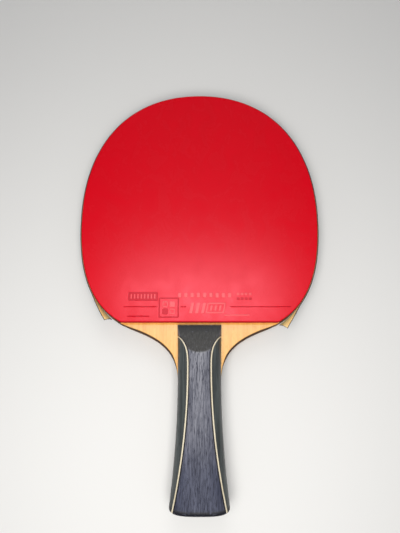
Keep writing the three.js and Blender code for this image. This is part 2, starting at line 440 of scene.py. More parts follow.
@dataclass(frozen=True)
class SheetRubber:
    """The tacky outer skin of a rubber, with its pimples just showing through.

    Attributes:
        name: Material name.
        colour: Main colour.
        deep: Colour in its darker patches.
        rough: Roughness of the skin.
        gloss: Specular level of the skin.
        tint: Colour of its gloss.
        show: How far the pimples show in the surface, in metres.
    """

    name: str
    colour: Colour
    deep: Colour
    rough: float
    gloss: float
    tint: Colour
    show: float = 0.004 * MM

    def make(self) -> Material:
        """Builds the material.

        Returns:
            The material.
        """
        recipe = Recipe(self.name)
        across = 1 / PIMPLE_PITCH
        along = across / math.sqrt(3)
        rows = recipe.cells((across, along, 0.01), 0.0)
        between = recipe.cells((across, along, 0.01), 0.0, (0.5, 0.5, 0.0))
        pimples = recipe.ramp(recipe.sums("MINIMUM", rows, between), 0.18, 0.42)
        recipe.relief(pimples, self.show)
        swell = recipe.noise((38, 38, 38), 2.0, 0.5)
        recipe.relief(swell, 0.015 * MM)
        grime = recipe.noise((95, 70, 95), 4.0, 0.62, 0.6)
        dust = recipe.noise((2600, 2600, 2600), 2.0, 0.7)
        specks = recipe.ramp(dust, 0.66, 0.78)
        patch = recipe.ramp(grime, 0.35, 0.7)
        colour = recipe.blend(patch, self.deep, self.colour)
        paler = shaded(self.colour, 1.25, 0.02)
        colour = recipe.blend(recipe.sums("MULTIPLY", specks, 0.1), colour, paler)
        rough = recipe.ramp(grime, 0.3, 0.75, self.rough + 0.03, self.rough - 0.03)
        return recipe.finish(colour, rough, Specular_IOR_Level=self.gloss, Specular_Tint=self.tint)


@dataclass(frozen=True)
class MouldedRubber:
    """Rubber moulded matt, as on the marking band, the pimples and the cut edges.

    Attributes:
        name: Material name.
        colour: Main colour.
        rough: Roughness.
        tint: Colour of its gloss.
    """

    name: str
    colour: Colour
    rough: float = 0.5
    tint: Colour = WHITE

    def make(self) -> Material:
        """Builds the material.

        Returns:
            The material.
        """
        recipe = Recipe(self.name)
        grain = recipe.noise((1800, 1800, 1800), 3.0, 0.6)
        darker = shaded(self.colour, 0.8)
        colour = recipe.blend(recipe.ramp(grain, 0.3, 0.7), darker, self.colour)
        recipe.relief(grain, 0.03 * MM)
        return recipe.finish(colour, self.rough, Specular_IOR_Level=0.2, Specular_Tint=self.tint)


@dataclass(frozen=True)
class Sponge:
    """Open-celled foam rubber, seen at its cut edge.

    Attributes:
        name: Material name.
        colour: Colour of the walls between the cells.
        cell: Size of a cell in metres.
    """

    name: str
    colour: Colour
    cell: float = 0.32 * MM

    def make(self) -> Material:
        """Builds the material.

        Returns:
            The material.
        """
        recipe = Recipe(self.name)
        size = 1 / self.cell
        cells = recipe.cells((size, size, size))
        holes = recipe.ramp(cells, 0.1, 0.42)
        tint = recipe.noise((260, 260, 260), 3.0, 0.55)
        body = recipe.blend(recipe.ramp(tint, 0.35, 0.65), self.colour, shaded(self.colour, 1.2, 0.01))
        # The hollows of the cells are painted 0.4 times as dark: painted shade in the hollows.
        colour = recipe.blend(holes, shaded(self.colour, 0.4), body)
        recipe.relief(holes, 0.12 * MM)
        return recipe.finish(colour, 0.95)


@dataclass(frozen=True)
class FibreCloth:
    """Resin-bonded woven fibre.

    Attributes:
        name: Material name.
        colour: Colour of the tows.
        tow: Width of a tow in metres.
    """

    name: str
    colour: Colour
    tow: float = 1.1 * MM

    def make(self) -> Material:
        """Builds the material.

        Returns:
            The material.
        """
        recipe = Recipe(self.name)
        count = 1 / self.tow
        threads = recipe.noise((count, count / 9, count * 6), 3.0, 0.6)
        lit = shaded(self.colour, 2.1, 0.01)
        colour = recipe.blend(recipe.ramp(threads, 0.35, 0.7), self.colour, lit)
        recipe.relief(threads, 0.02 * MM)
        return recipe.finish(colour, 0.55)


@dataclass(frozen=True)
class TapeBacking:
    """The black cloth face of edge tape, rubbed paler here and there.

    Attributes:
        name: Material name.
        colour: Colour of the cloth.
        thread: Width of a thread in metres.
    """

    name: str
    colour: Colour
    thread: float = 0.34 * MM

    def make(self) -> Material:
        """Builds the material.

        Returns:
            The material.
        """
        recipe = Recipe(self.name)
        count = 1 / self.thread
        weave = recipe.noise((count / 2, count / 2, count * 1.6), 2.0, 0.5)
        slubs = recipe.noise((count / 6, count / 6, count), 3.0, 0.6)
        rubbed = recipe.ramp(recipe.noise((60, 60, 420), 4.0, 0.65), 0.52, 0.8)
        tone_change = recipe.sums("MULTIPLY", rubbed, 0.5)
        tone = recipe.sums("MULTIPLY_ADD", recipe.ramp(slubs, 0.4, 0.75), 0.35, tone_change)
        colour = recipe.blend(tone, self.colour, shaded(self.colour, 3.2, 0.02))
        recipe.relief(weave, 0.05 * MM)
        return recipe.finish(colour, recipe.ramp(rubbed, 0.0, 1.0, 0.48, 0.7))


@dataclass(frozen=True)
class TapeAdhesive:
    """The tan adhesive face of edge tape, with wood dust and dark bits stuck in it; its colour is painted
    paler and it glows faintly, as painted light.

    Attributes:
        name: Material name.
        colour: Main colour.
        stain: Colour of its darker patches.
        speck: Colour of the bits.
        painted_gap_shade: Dark colour painted on the adhesive below the blade's middle, as shade of the
            gap beside the blade.
        painted_light_glow: Strength of an emitted glow, painted light that stands for the light caught
            between the tape and the blade.
    """

    name: str
    colour: Colour
    stain: Colour
    speck: Colour
    painted_gap_shade: Colour
    painted_light_glow: float = 0.16

    def make(self, level: float) -> Material:
        """Builds the material.

        Args:
            level: z of the middle of the blade, under which the adhesive is painted dark as shade of the
                gap beside the blade.

        Returns:
            The material.
        """
        recipe = Recipe(self.name)
        cloud = recipe.noise((420, 420, 420), 3.0, 0.6)
        strands = recipe.noise((1500, 1500, 160), 3.0, 0.65, 0.3)
        specks = recipe.ramp(recipe.noise((1300, 1300, 1300), 2.0, 0.6), 0.6, 0.72)
        colour = recipe.blend(recipe.ramp(cloud, 0.36, 0.66), self.stain, self.colour)
        streaks = recipe.sums("MULTIPLY", recipe.ramp(strands, 0.5, 0.8), 0.4)
        colour = recipe.blend(streaks, colour, self.stain)
        colour = recipe.blend(recipe.sums("MULTIPLY", specks, 0.8), colour, self.speck)
        # Below the blade's middle the adhesive is painted dark: painted shade of the gap beside the blade.
        gap_shade_share = recipe.ramp(recipe.height("Z"), level - 0.6 * MM, level + 1.4 * MM, 0.92, 0.0)
        colour = recipe.blend(gap_shade_share, colour, self.painted_gap_shade)
        recipe.relief(strands, 0.06 * MM)
        # The emission is painted light: a glow that stands for light caught between the tape and the
        # blade.
        return recipe.finish(
            colour,
            0.62,
            Sheen_Weight=1.0,
            Sheen_Roughness=0.5,
            Sheen_Tint=self.colour,
            Emission_Color=self.colour,
            Emission_Strength=self.painted_light_glow,
        )


@dataclass(frozen=True)
class Backdrop:
    """The pale matt paint of the floor.

    Attributes:
        name: Material name.
        colour: Its colour.
    """

    name: str
    colour: Colour

    def make(self) -> Material:
        """Builds the material.

        Returns:
            The material.
        """
        return Recipe(self.name).finish(self.colour, 0.9)


# ---------------------------------------------------------------- mesh work


def build_piece(
    name: str,
    points: Sequence[Sequence[float]],
    faces: Iterable[Sequence[int]],
    materials: Sequence[Material],
    slots: Sequence[int] | None = None,
    sharp: float = SHARP_ANGLE,
) -> bpy.types.Object:
    """Makes a shown object from points and faces, with its doubles merged.

    Args:
        name: Object name.
        points: Vertex places in the row frame.
        faces: Vertex numbers of each face, seen anticlockwise from outside.
        materials: Material slots.
        slots: Slot number of each face, all 0 if left out.
        sharp: Edges that bend more than this many degrees stay sharp.

    Returns:
        The object, linked to the scene.
    """
    mesh = bpy.data.meshes.new(name)
    mesh.from_pydata([tuple(p) for p in points], [], [tuple(f) for f in faces])
    for material in materials:
        mesh.materials.append(material)
    if slots is not None:
        mesh.polygons.foreach_set("material_index", np.asarray(slots, np.int32))
    work = bmesh.new()
    work.from_mesh(mesh)
    bmesh.ops.remove_doubles(work, verts=work.verts, dist=MERGE_DISTANCE)
    bmesh.ops.dissolve_degenerate(work, edges=work.edges, dist=MERGE_DISTANCE)
    bmesh.ops.recalc_face_normals(work, faces=work.faces)
    work.to_mesh(mesh)
    work.free()
    mesh.shade_smooth()
    mesh.set_sharp_from_angle(angle=math.radians(sharp))
    piece = bpy.data.objects.new(name, mesh)
    bpy.context.scene.collection.objects.link(piece)
    return piece


def ring_faces(count: int, size: int) -> Faces:
    """Faces between rings of equal size that follow each other.

    Args:
        count: Number of rings.
        size: Points in each ring.

    Returns:
        One face of four points for each step along and round.
    """
    return [
        (r * size + p, r * size + (p + 1) % size, (r + 1) * size + (p + 1) % size, (r + 1) * size + p)
        for r in range(count - 1)
        for p in range(size)
    ]


def mitred(outline: np.ndarray) -> np.ndarray:
    """Outward directions at the points of a closed anticlockwise outline.

    Args:
        outline: Points in order, one row each.

    Returns:
        For each point, the shift that moves both its edges out by one.
    """
    ahead = np.roll(outline, -1, axis=0) - outline
    ahead /= np.linalg.norm(ahead, axis=1, keepdims=True)
    after = np.stack([ahead[:, 1], -ahead[:, 0]], axis=1)
    before = np.roll(after, 1, axis=0)
    return (before + after) / (1 + (before * after).sum(axis=1, keepdims=True))


def bezier(
    start: Sequence[float],
    pull_a: Sequence[float],
    pull_b: Sequence[float],
    end: Sequence[float],
    steps: int,
) -> np.ndarray:
    """Points along a cubic curve.

    Args:
        start: First point.
        pull_a: Its handle.
        pull_b: The last point's handle.
        end: Last point.
        steps: Number of steps.

    Returns:
        The points, one more than there are steps.
    """
    t = np.linspace(0, 1, steps + 1)[:, None]
    parts = [np.asarray(p, float) for p in (start, pull_a, pull_b, end)]
    return (
        (1 - t) ** 3 * parts[0]
        + 3 * (1 - t) ** 2 * t * parts[1]
        + 3 * (1 - t) * t**2 * parts[2]
        + t**3 * parts[3]
    )


@dataclass
class Place:
    """Carries shapes drawn about the handle's upper end and the blade's middle into the frame.

    Attributes:
        handle_top: y of the handle's upper end.
        middle: z of the middle of the blade.
    """

    handle_top: float
    middle: float

    @classmethod
    def from_frame(cls) -> "Place":
        """Reads both from the CAD nodes.

        Returns:
            The place.
        """
        low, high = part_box("core_ply")
        return cls(handle_top=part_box("front_grip_centre")[1].y, middle=(low.z + high.z) / 2)

    def put(self, points: Iterable[Sequence[float]], face: Face = Face.FRONT) -> Ring:
        """Moves drawn points into the frame.

        Args:
            points: Points drawn for the front.
            face: The face that they are for.

        Returns:
            The points in the row frame.
        """
        turn = face.turn
        return [(turn * x, y + self.handle_top, turn * z + self.middle) for x, y, z in points]


# ---------------------------------------------------------------- outlines


@dataclass
class HandleProfile:
    """The handle's outline and thickness, about its upper end.

    Attributes:
        length: From the upper end to the butt.
        top: Half width at the upper end.
        waist: Half width at the narrowest place.
        waist_y: Where that is.
        butt: Half width that the flare reaches at the butt.
        crown: From the middle of the blade to the crown at the waist.
        butt_crown: The same at the butt.
        bulge: Length over which the butt's corners round off.
        square: Squareness of those corners.
        round_section: Squareness of the section, 2 for an ellipse.
    """

    length: float
    butt_crown: float
    top: float = 13 * MM
    waist: float = 12.4 * MM
    waist_y: float = -35 * MM
    butt: float = 16.8 * MM
    crown: float = 11.5 * MM
    bulge: float = 5.5 * MM
    square: float = 3.5
    round_section: float = 2.6

    @property
    def butt_start(self) -> float:
        """Height at which the butt's corners begin."""
        return self.bulge - self.length

    def fall(self, y: float) -> float:
        """Share of the way from the waist to the butt, squared."""
        return max(0.0, (self.waist_y - y) / (self.waist_y + self.length)) ** 2

    def half_width(self, y: float) -> float:
        """Half width of the handle at a height.

        Args:
            y: Height, 0 at the upper end and negative below.

        Returns:
            The half width.
        """
        if y > self.waist_y:
            rise = (y - self.waist_y) / -self.waist_y
            return self.waist + (self.top - self.waist) * rise**2
        return self.waist + (self.butt - self.waist) * self.fall(y)

    def crown_height(self, y: float) -> float:
        """Height of the crown over the middle of the blade."""
        return self.crown + (self.butt_crown - self.crown) * self.fall(y)

    def end_y(self, share: float) -> float:
        """Where the butt ends, at a share of the half width from the centreline."""
        inside = max(0.0, 1 - min(1.0, abs(share)) ** self.square)
        return self.butt_start - self.bulge * inside ** (1 / self.square)


@dataclass
class BladePlan:
    """The head's outline and what follows it.

    Attributes:
        handle: The handle's profile, which the tang shares.
        tip: y of the head's tip.
        half_width: Half width of the head.
        gap: Bare wood between the rubber and the handle.
        inset: How far the rubber is trimmed inside the blade's edge.
        half_thickness: From the middle of the blade to its face.
        widest: y of the widest place.
        shoulder: Where the head's curve turns into the neck's.
        shoulder_slope: Slope there.
        tip_fullness: How flat the tip is, as a share of the half width.
        upper_fullness: How straight the sides are above the widest place.
        lower_fullness: And below it.
        shoulder_fullness: Share of the width lost between the widest place and the shoulder.
        neck_end: y where the neck has run into the handle's sides.
        neck_upper: Reach of the neck curve's first handle, as a share of its width.
        neck_lower: Reach of its second, as a share of its height.
        neck_round: How far the neck's edge is rounded off at the blade's face.
        round_power: How late that rounding sets in between the blade's middle and its face.
        round_fade: Distances from the handle and from the rubber over which it builds up.
        head_steps: Steps in each of the head's two curves.
        neck_steps: Steps in the neck's curve.
        tang_steps: Points down the tang's side.
        corner_steps: Points round the tang's corner.
        trim_steps: Points along half of the rubber's straight edge.
    """

    handle: HandleProfile
    tip: float
    half_width: float
    gap: float
    inset: float
    half_thickness: float
    widest: float = 70 * MM
    shoulder: tuple[float, float] = (40.7 * MM, -1.7 * MM)
    shoulder_slope: float = math.radians(23.5)
    tip_fullness: float = 0.635
    upper_fullness: float = 0.593
    lower_fullness: float = 0.68
    shoulder_fullness: float = 0.58
    neck_end: float = -33.5 * MM
    neck_upper: float = 0.42
    neck_lower: float = 0.7
    neck_round: float = 0.9 * MM
    round_power: float = 2.5
    round_fade: tuple[float, float] = (4 * MM, 5 * MM)
    head_steps: int = 84
    neck_steps: int = 36
    tang_steps: int = 43
    corner_steps: int = 25
    trim_steps: int = 60

    @property
    def shoulder_direction(self) -> np.ndarray:
        """Direction of the outline at the shoulder, outwards and up."""
        return np.array([math.cos(self.shoulder_slope), math.sin(self.shoulder_slope)])

    def head(self) -> np.ndarray:
        """The right-hand half of the head, from the tip to the shoulder.

        Returns:
            The points in order.
        """
        wide = (self.half_width, self.widest)
        shoulder = np.asarray(self.shoulder)
        reach = self.shoulder_fullness * (self.half_width - shoulder[0])
        above = (self.half_width, self.widest + self.upper_fullness * (self.tip - self.widest))
        below = (self.half_width, self.widest - self.lower_fullness * (self.widest - shoulder[1]))
        level = (self.tip_fullness * self.half_width, self.tip)
        upper = bezier((0, self.tip), level, above, wide, self.head_steps)
        lower = bezier(wide, below, shoulder + reach * self.shoulder_direction, shoulder, self.head_steps)
        return np.vstack([upper, lower[1:]])

    def neck(self) -> np.ndarray:
        """The right-hand curve of the neck, from the shoulder to the handle's side.

        Returns:
            The points in order.
        """
        start = np.asarray(self.shoulder)
        end = np.array([self.handle.half_width(self.neck_end), self.neck_end])
        reach = self.neck_upper * (start[0] - end[0])
        first = start - reach * self.shoulder_direction
        second = end + np.array([0, self.neck_lower * (start[1] - end[1])])
        return bezier(start, first, second, end, self.neck_steps)

    def blade(self) -> np.ndarray:
        """The whole outline of a ply, anticlockwise from above.

        Returns:
            The points in order.
        """
        handle = self.handle
        heights = np.linspace(self.neck_end, handle.butt_start, self.tang_steps + 1)[1:]
        sides = [(handle.half_width(y), y) for y in heights]
        full = handle.half_width(handle.butt_start)
        turns = np.linspace(0, math.pi / 2, self.corner_steps + 1)[1:]
        corner = [(full * share, handle.end_y(share)) for share in (math.cos(a) ** (2 / 3) for a in turns)]
        return closed_outline(np.vstack([self.head(), self.neck()[1:], sides, corner]))

    def sanded(self, x: float, y: float, z: float) -> float:
        """How far the neck's edge is rounded off at a point of the blade's outline.

        Args:
            x: Its distance from the centreline, either side.
            y: Its height.
            z: Its distance from the middle of the blade.

        Returns:
            The distance that the edge stands in there.
        """
        from_handle = (abs(x) - self.handle.half_width(min(y, 0.0))) / self.round_fade[0]
        from_rubber = (self.gap - y) / self.round_fade[1]
        share = max(0.0, min(1.0, from_handle, from_rubber))
        return self.neck_round * share * (abs(z) / self.half_thickness) ** self.round_power

    def rubber(self) -> np.ndarray:
        """The outline of a rubber, trimmed inside the blade and straight above the handle.

        Returns:
            The points in order.
        """
        whole = closed_outline(self.head())
        inner = whole - mitred(whole) * self.inset
        inner = inner[inner[:, 0] >= 0]
        inner = inner[np.argsort(-inner[:, 1])]
        kept = [tuple(p) for p in inner if p[1] > self.gap]
        last = inner[len(kept)]
        upper = np.array(kept[-1])
        share = (upper[1] - self.gap) / (upper[1] - last[1])
        corner = upper + (last - upper) * share
        flat = [(corner[0] * s, self.gap) for s in np.linspace(1, 0, self.trim_steps)]
        return closed_outline(np.vstack([kept, flat]))


def closed_outline(right: np.ndarray) -> np.ndarray:
    """Mirrors a right-hand half that starts on the centreline and closes it.

    Args:
        right: Points from the top of the centreline down the right-hand side.

    Returns:
        The whole outline, anticlockwise from above.
    """
    left = right[::-1] * np.array([-1.0, 1.0])
    if abs(right[-1, 0]) < 1e-9:
        left = left[1:]
    whole = np.vstack([right, left[:-1]])
    return whole[::-1].copy()


# ---------------------------------------------------------------- sheets


@dataclass
class SheetShape:
    """A flat sheet with eased edges, between two heights over the middle of the blade.

    Attributes:
        outline: Its outline, anticlockwise.
        low: Lower height.
        high: Upper height.
        ease: Radius of its rounded edges.
        recess: How far its edge stands back from the outline.
        unevenness: How far its cut edge wanders.
        seed: Chooses the wander.
        rows: Rows of faces up the edge, between its rounded parts.
        sanding: How far hand sanding has taken the edge in at a point, or None.
        margin: Width of the flat ring of faces inside each rounded edge.
        wander_size: Distance over which the wander changes.
    """

    outline: np.ndarray
    low: float
    high: float
    ease: float = 0.08 * MM
    recess: float = 0.0
    unevenness: float = 0.0
    seed: float = 0.0
    rows: int = 2
    sanding: Callable[[float, float, float], float] | None = None
    margin: float = 0.5 * MM
    wander_size: float = 0.9 * MM

    def profile(self) -> list[tuple[float, float]]:
        """Inset and height of each ring, from the lower face up the edge to the upper face.

        Returns:
            The rings, with one flat ring inside each face.
        """
        turns = [math.radians(a) for a in (0, 30, 60, 90)]
        lower = [(self.ease * (1 - math.sin(a)), self.low + self.ease * (1 - math.cos(a))) for a in turns]
        upper = [(inset, self.high - (z - self.low)) for inset, z in reversed(lower)]
        heights = np.linspace(self.low + self.ease, self.high - self.ease, self.rows + 1)
        middle = [(0.0, z) for z in heights[1:-1]]
        rim = self.ease + self.margin
        return [(rim, self.low), *lower, *middle, *upper, (rim, self.high)]

    def wander(self, x: float, y: float, z: float) -> float:
        """How far the edge stands in at a point, from fine noise.

        Args:
            x: Place of the point.
            y: The same.
            z: The same.

        Returns:
            The distance, 0 where the edge is even.
        """
        if not self.unevenness:
            return 0.0
        spot = Vector((x, y, z)) / self.wander_size
        return self.unevenness * (0.5 + 0.5 * noise.noise(spot + Vector((self.seed, 0, 0))))

    def rings(self) -> tuple[Ring, Faces]:
        """Builds the sheet's points and faces.

        Returns:
            The points, ring by ring from the lower face up, and the faces: those between rings,
            then the lower and the upper face.
        """
        out = mitred(self.outline)
        points: Ring = []
        profile = self.profile()
        for number, (inset, z) in enumerate(profile):
            flat = number in (0, len(profile) - 1)
            for (x, y), (nx, ny) in zip(self.outline, out):
                shift = self.recess + inset + (0.0 if flat else self.wander(x, y, z))
                if self.sanding is not None:
                    shift += self.sanding(x, y, z)
                points.append((x - nx * shift, y - ny * shift, z))
        size = len(self.outline)
        faces = ring_faces(len(profile), size)
        last = (len(profile) - 1) * size
        faces.append(tuple(range(size))[::-1])
        faces.append(tuple(range(last, last + size)))
        return points, faces


def face_heights(node: str, place: Place) -> tuple[float, float]:
    """Inner and outer height of a node over the middle of the blade, whichever face it is on.

    Args:
        node: The CAD node.
        place: Where the blade's middle is.

    Returns:
        The lower and the higher distance from the middle.
    """
    low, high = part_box(node)
    ends = sorted((abs(low.z - place.middle), abs(high.z - place.middle)))
    return ends[0], ends[1]


@dataclass(frozen=True)
class PlyFinish:
    """How a ply is finished.

    Attributes:
        materials: Materials of its face and, last, of its edge.
        slot: The record's material slot; not used.
        recess: How far its edge stands back from the blade's outline.
        ease: Radius of its edges.
    """

    materials: list[Material]
    slot: str
    recess: float
    ease: float


@dataclass
class Blade:
    """The seven plies.

    Attributes:
        plan: The blade's outline.
        place: Where it goes.
        core: Wood of the core ply, its colour darkened as painted shade on the blade's side.
        inner: Wood of the veneers next to it, its colour darkened as painted shade on the blade's side.
        fibre: The cloth between the veneers.
        outer: Wood of the face veneers.
        rim: The same wood painted dark, as painted shade, at their edges and under the rubbers' margins.
    """

    plan: BladePlan
    place: Place
    # Only this ply's edge shows, so its brown is darkened as painted shade on the blade's side.
    core: Wood = Wood(
        "core_wood",
        linear(96, 64, 39),
        linear(122, 84, 52),
        linear(64, 42, 26),
        rough=0.75,
        depth=0.05 * MM,
    )
    # Darkened near black as painted shade on the blade's side.
    inner: Wood = Wood(
        "inner_veneer_wood", linear(36, 25, 20), linear(54, 38, 28), linear(24, 17, 14), rough=0.75
    )
    fibre: FibreCloth = FibreCloth("fibre_cloth", linear(34, 28, 26))
    outer: Wood = Wood(
        "face_veneer_wood",
        linear(216, 157, 72),
        linear(231, 178, 91),
        linear(190, 127, 56),
        streak=1.5 * MM,
        pore_width=0.22 * MM,
        pore_share=0.3,
        rough=0.42,
        coat=0.05,
        depth=0.015 * MM,
    )
    # Painted shade: the face veneers' edges and the strip by the rubbers are coloured dark brown.
    rim: Wood = Wood(
        "face_veneer_painted_shade", linear(70, 46, 30), linear(98, 68, 44), linear(44, 29, 21), rough=0.8
    )

    def build(self) -> list[bpy.types.Object]:
        """Makes the plies.

        Returns:
            One piece for each.
        """
        outline = self.plan.blade()
        core = PlyFinish([self.core.make()], "core_wood", 0.02 * MM, 0.06 * MM)
        veneer = [self.outer.make(), self.rim.make()]
        kinds = {
            "inner_veneer": PlyFinish([self.inner.make()], "inner_veneer_wood", 0.03 * MM, 0.05 * MM),
            "fibre_sheet": PlyFinish([self.fibre.make()], "fibre", 0.1 * MM, 0.03 * MM),
            "face_veneer": PlyFinish(veneer, "face_veneer_wood", 0.0, 0.15 * MM),
        }
        pieces = [self.ply("core_ply", outline, Face.FRONT, core)]
        for face in Face:
            for kind, finish in kinds.items():
                pieces.append(self.ply(f"{face.value}_{kind}", outline, face, finish))
        return pieces

    def ply(self, node: str, outline: np.ndarray, face: Face, finish: PlyFinish) -> bpy.types.Object:
        """Makes one ply.

        Args:
            node: The CAD node that it stands for.
            outline: Its outline.
            face: The face that it is on.
            finish: How its surface and edge are finished.

        Returns:
            The piece.
        """
        low, high = face_heights(node, self.place)
        if node == "core_ply":
            low = -high
        ease = min(finish.ease, MOST_EASE * (high - low))
        shape = SheetShape(outline, low, high, ease, finish.recess, sanding=self.plan.sanded)
        points, faces = shape.rings()
        edge = len(finish.materials) - 1
        slots = [edge] * (len(faces) - 2) + [0, 0]
        size = len(outline)
        # The flat rim of each face above the gap takes the dark edge wood too: painted shade by the
        # rubber's edge.
        margin = [edge if y > self.plan.gap else 0 for _, y in outline]
        slots[:size] = slots[-2 - size : -2] = margin
        piece = build_piece(node + "_sheet", self.place.put(points, face), faces, finish.materials, slots)
        return attach(piece, node)


def attach(piece: bpy.types.Object, node: str) -> bpy.types.Object:
    """Lets a piece ride on the paddle in place of a CAD node.

    Args:
        piece: The piece.
        node: The node that it stands for.

    Returns:
        The piece.
    """
    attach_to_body(piece, BODY)
    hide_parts(node)
    return piece


# ---------------------------------------------------------------- geometry nodes


class NodeTool:
    """A geometry node tree with named inputs, run once on an object."""

    def __init__(self, name: str, inputs: dict[str, tuple[str, float | int]]) -> None:
        """Starts the tree.

        Args:
            name: Its name.
            inputs: For each named input, its socket type and starting value.
        """
        self.tree = bpy.data.node_groups.new(name, "GeometryNodeTree")
        self.tree.interface.new_socket("Geometry", in_out="INPUT", socket_type="NodeSocketGeometry")
        self.tree.interface.new_socket("Geometry", in_out="OUTPUT", socket_type="NodeSocketGeometry")
        for title, (kind, value) in inputs.items():
            socket = self.tree.interface.new_socket(title, in_out="INPUT", socket_type=kind)
            socket.default_value = value
        self.start = self.node("NodeGroupInput")
        self.end = self.node("NodeGroupOutput")

    def node(self, kind: str, **settings: object) -> bpy.types.Node:
        """Adds a node.

        Args:
            kind: Its type.
            **settings: Properties to set on it.

        Returns:
            The node.
        """
        made = self.tree.nodes.new(kind)
        for key, value in settings.items():
            setattr(made, key, value)
        return made

    def link(self, source: Socket, target: Socket) -> None:
        """Links two sockets."""
        self.tree.links.new(source, target)

    def feed(self, kind: str, values: Sequence[Socket | float], **settings: object) -> Socket:
        """Adds a node and feeds its first inputs in order.

        Args:
            kind: Its type.
            values: Sockets or numbers for the inputs.
            **settings: Properties to set on it.

        Returns:
            Its first output.
        """
        made = self.node(kind, **settings)
        for value, target in zip(values, made.inputs):
            if isinstance(value, Socket):
                self.link(value, target)
            else:
                target.default_value = value
        return made.outputs[0]

    def maths(self, operation: str, *values: Socket | float) -> Socket:
        """One arithmetic step on sockets or numbers."""
        return self.feed("ShaderNodeMath", values, operation=operation)

    def vector(self, *values: Socket | float) -> Socket:
        """A vector from three sockets or numbers."""
        return self.feed("ShaderNodeCombineXYZ", values)

    def repeat(self, shape: Socket, points: Socket, material: Material) -> None:
        """Ends the tree with a copy of a shape on each point, made real and given its finish.

        Args:
            shape: The shape.
            points: The points.
            material: The finish.
        """
        copies = self.node("GeometryNodeInstanceOnPoints")
        self.link(points, copies.inputs["Points"])
        self.link(shape, copies.inputs["Instance"])
        real = self.node("GeometryNodeRealizeInstances")
        self.link(copies.outputs[0], real.inputs[0])
        dressed = self.node("GeometryNodeSetMaterial")
        dressed.inputs["Material"].default_value = material
        self.link(real.outputs[0], dressed.inputs["Geometry"])
        self.link(dressed.outputs[0], self.end.inputs[0])

    def run(self, host: bpy.types.Object, values: dict[str, float | int]) -> bpy.types.Mesh:
        """Runs the tree on an object and takes the result as a plain mesh.

        Args:
            host: The object, which is left without the modifier.
            values: Values for the named inputs.

        Returns:
            The resulting mesh.
        """
        modifier = host.modifiers.new(self.tree.name, "NODES")
        modifier.node_group = self.tree
        for item in self.tree.interface.items_tree:
            if item.item_type == "SOCKET" and item.in_out == "INPUT" and item.name in values:
                modifier[item.identifier] = values[item.name]
        bpy.context.view_layer.update()
        graph = bpy.context.evaluated_depsgraph_get()
        mesh = bpy.data.meshes.new_from_object(host.evaluated_get(graph))
        host.modifiers.remove(modifier)
        return mesh


def join(piece: bpy.types.Object, extras: Sequence[bpy.types.Mesh]) -> None:
    """Adds the faces of other meshes to a piece, keeping their materials.

    Args:
        piece: The piece to add to.
        extras: The meshes.
    """
    work = bmesh.new()
    work.from_mesh(piece.data)
    for mesh in extras:
        slots = []
        for material in mesh.materials:
            if material is not None and material.name not in piece.data.materials:
                piece.data.materials.append(material)
            slots.append(0 if material is None else piece.data.materials.find(material.name))
        first = len(work.faces)
        work.from_mesh(mesh)
        work.faces.ensure_lookup_table()
        for face in work.faces[first:]:
            face.material_index = slots[face.material_index] if slots else 0
    work.to_mesh(piece.data)
    work.free()
    piece.data.shade_smooth()
    piece.data.set_sharp_from_angle(angle=math.radians(SHARP_ANGLE))


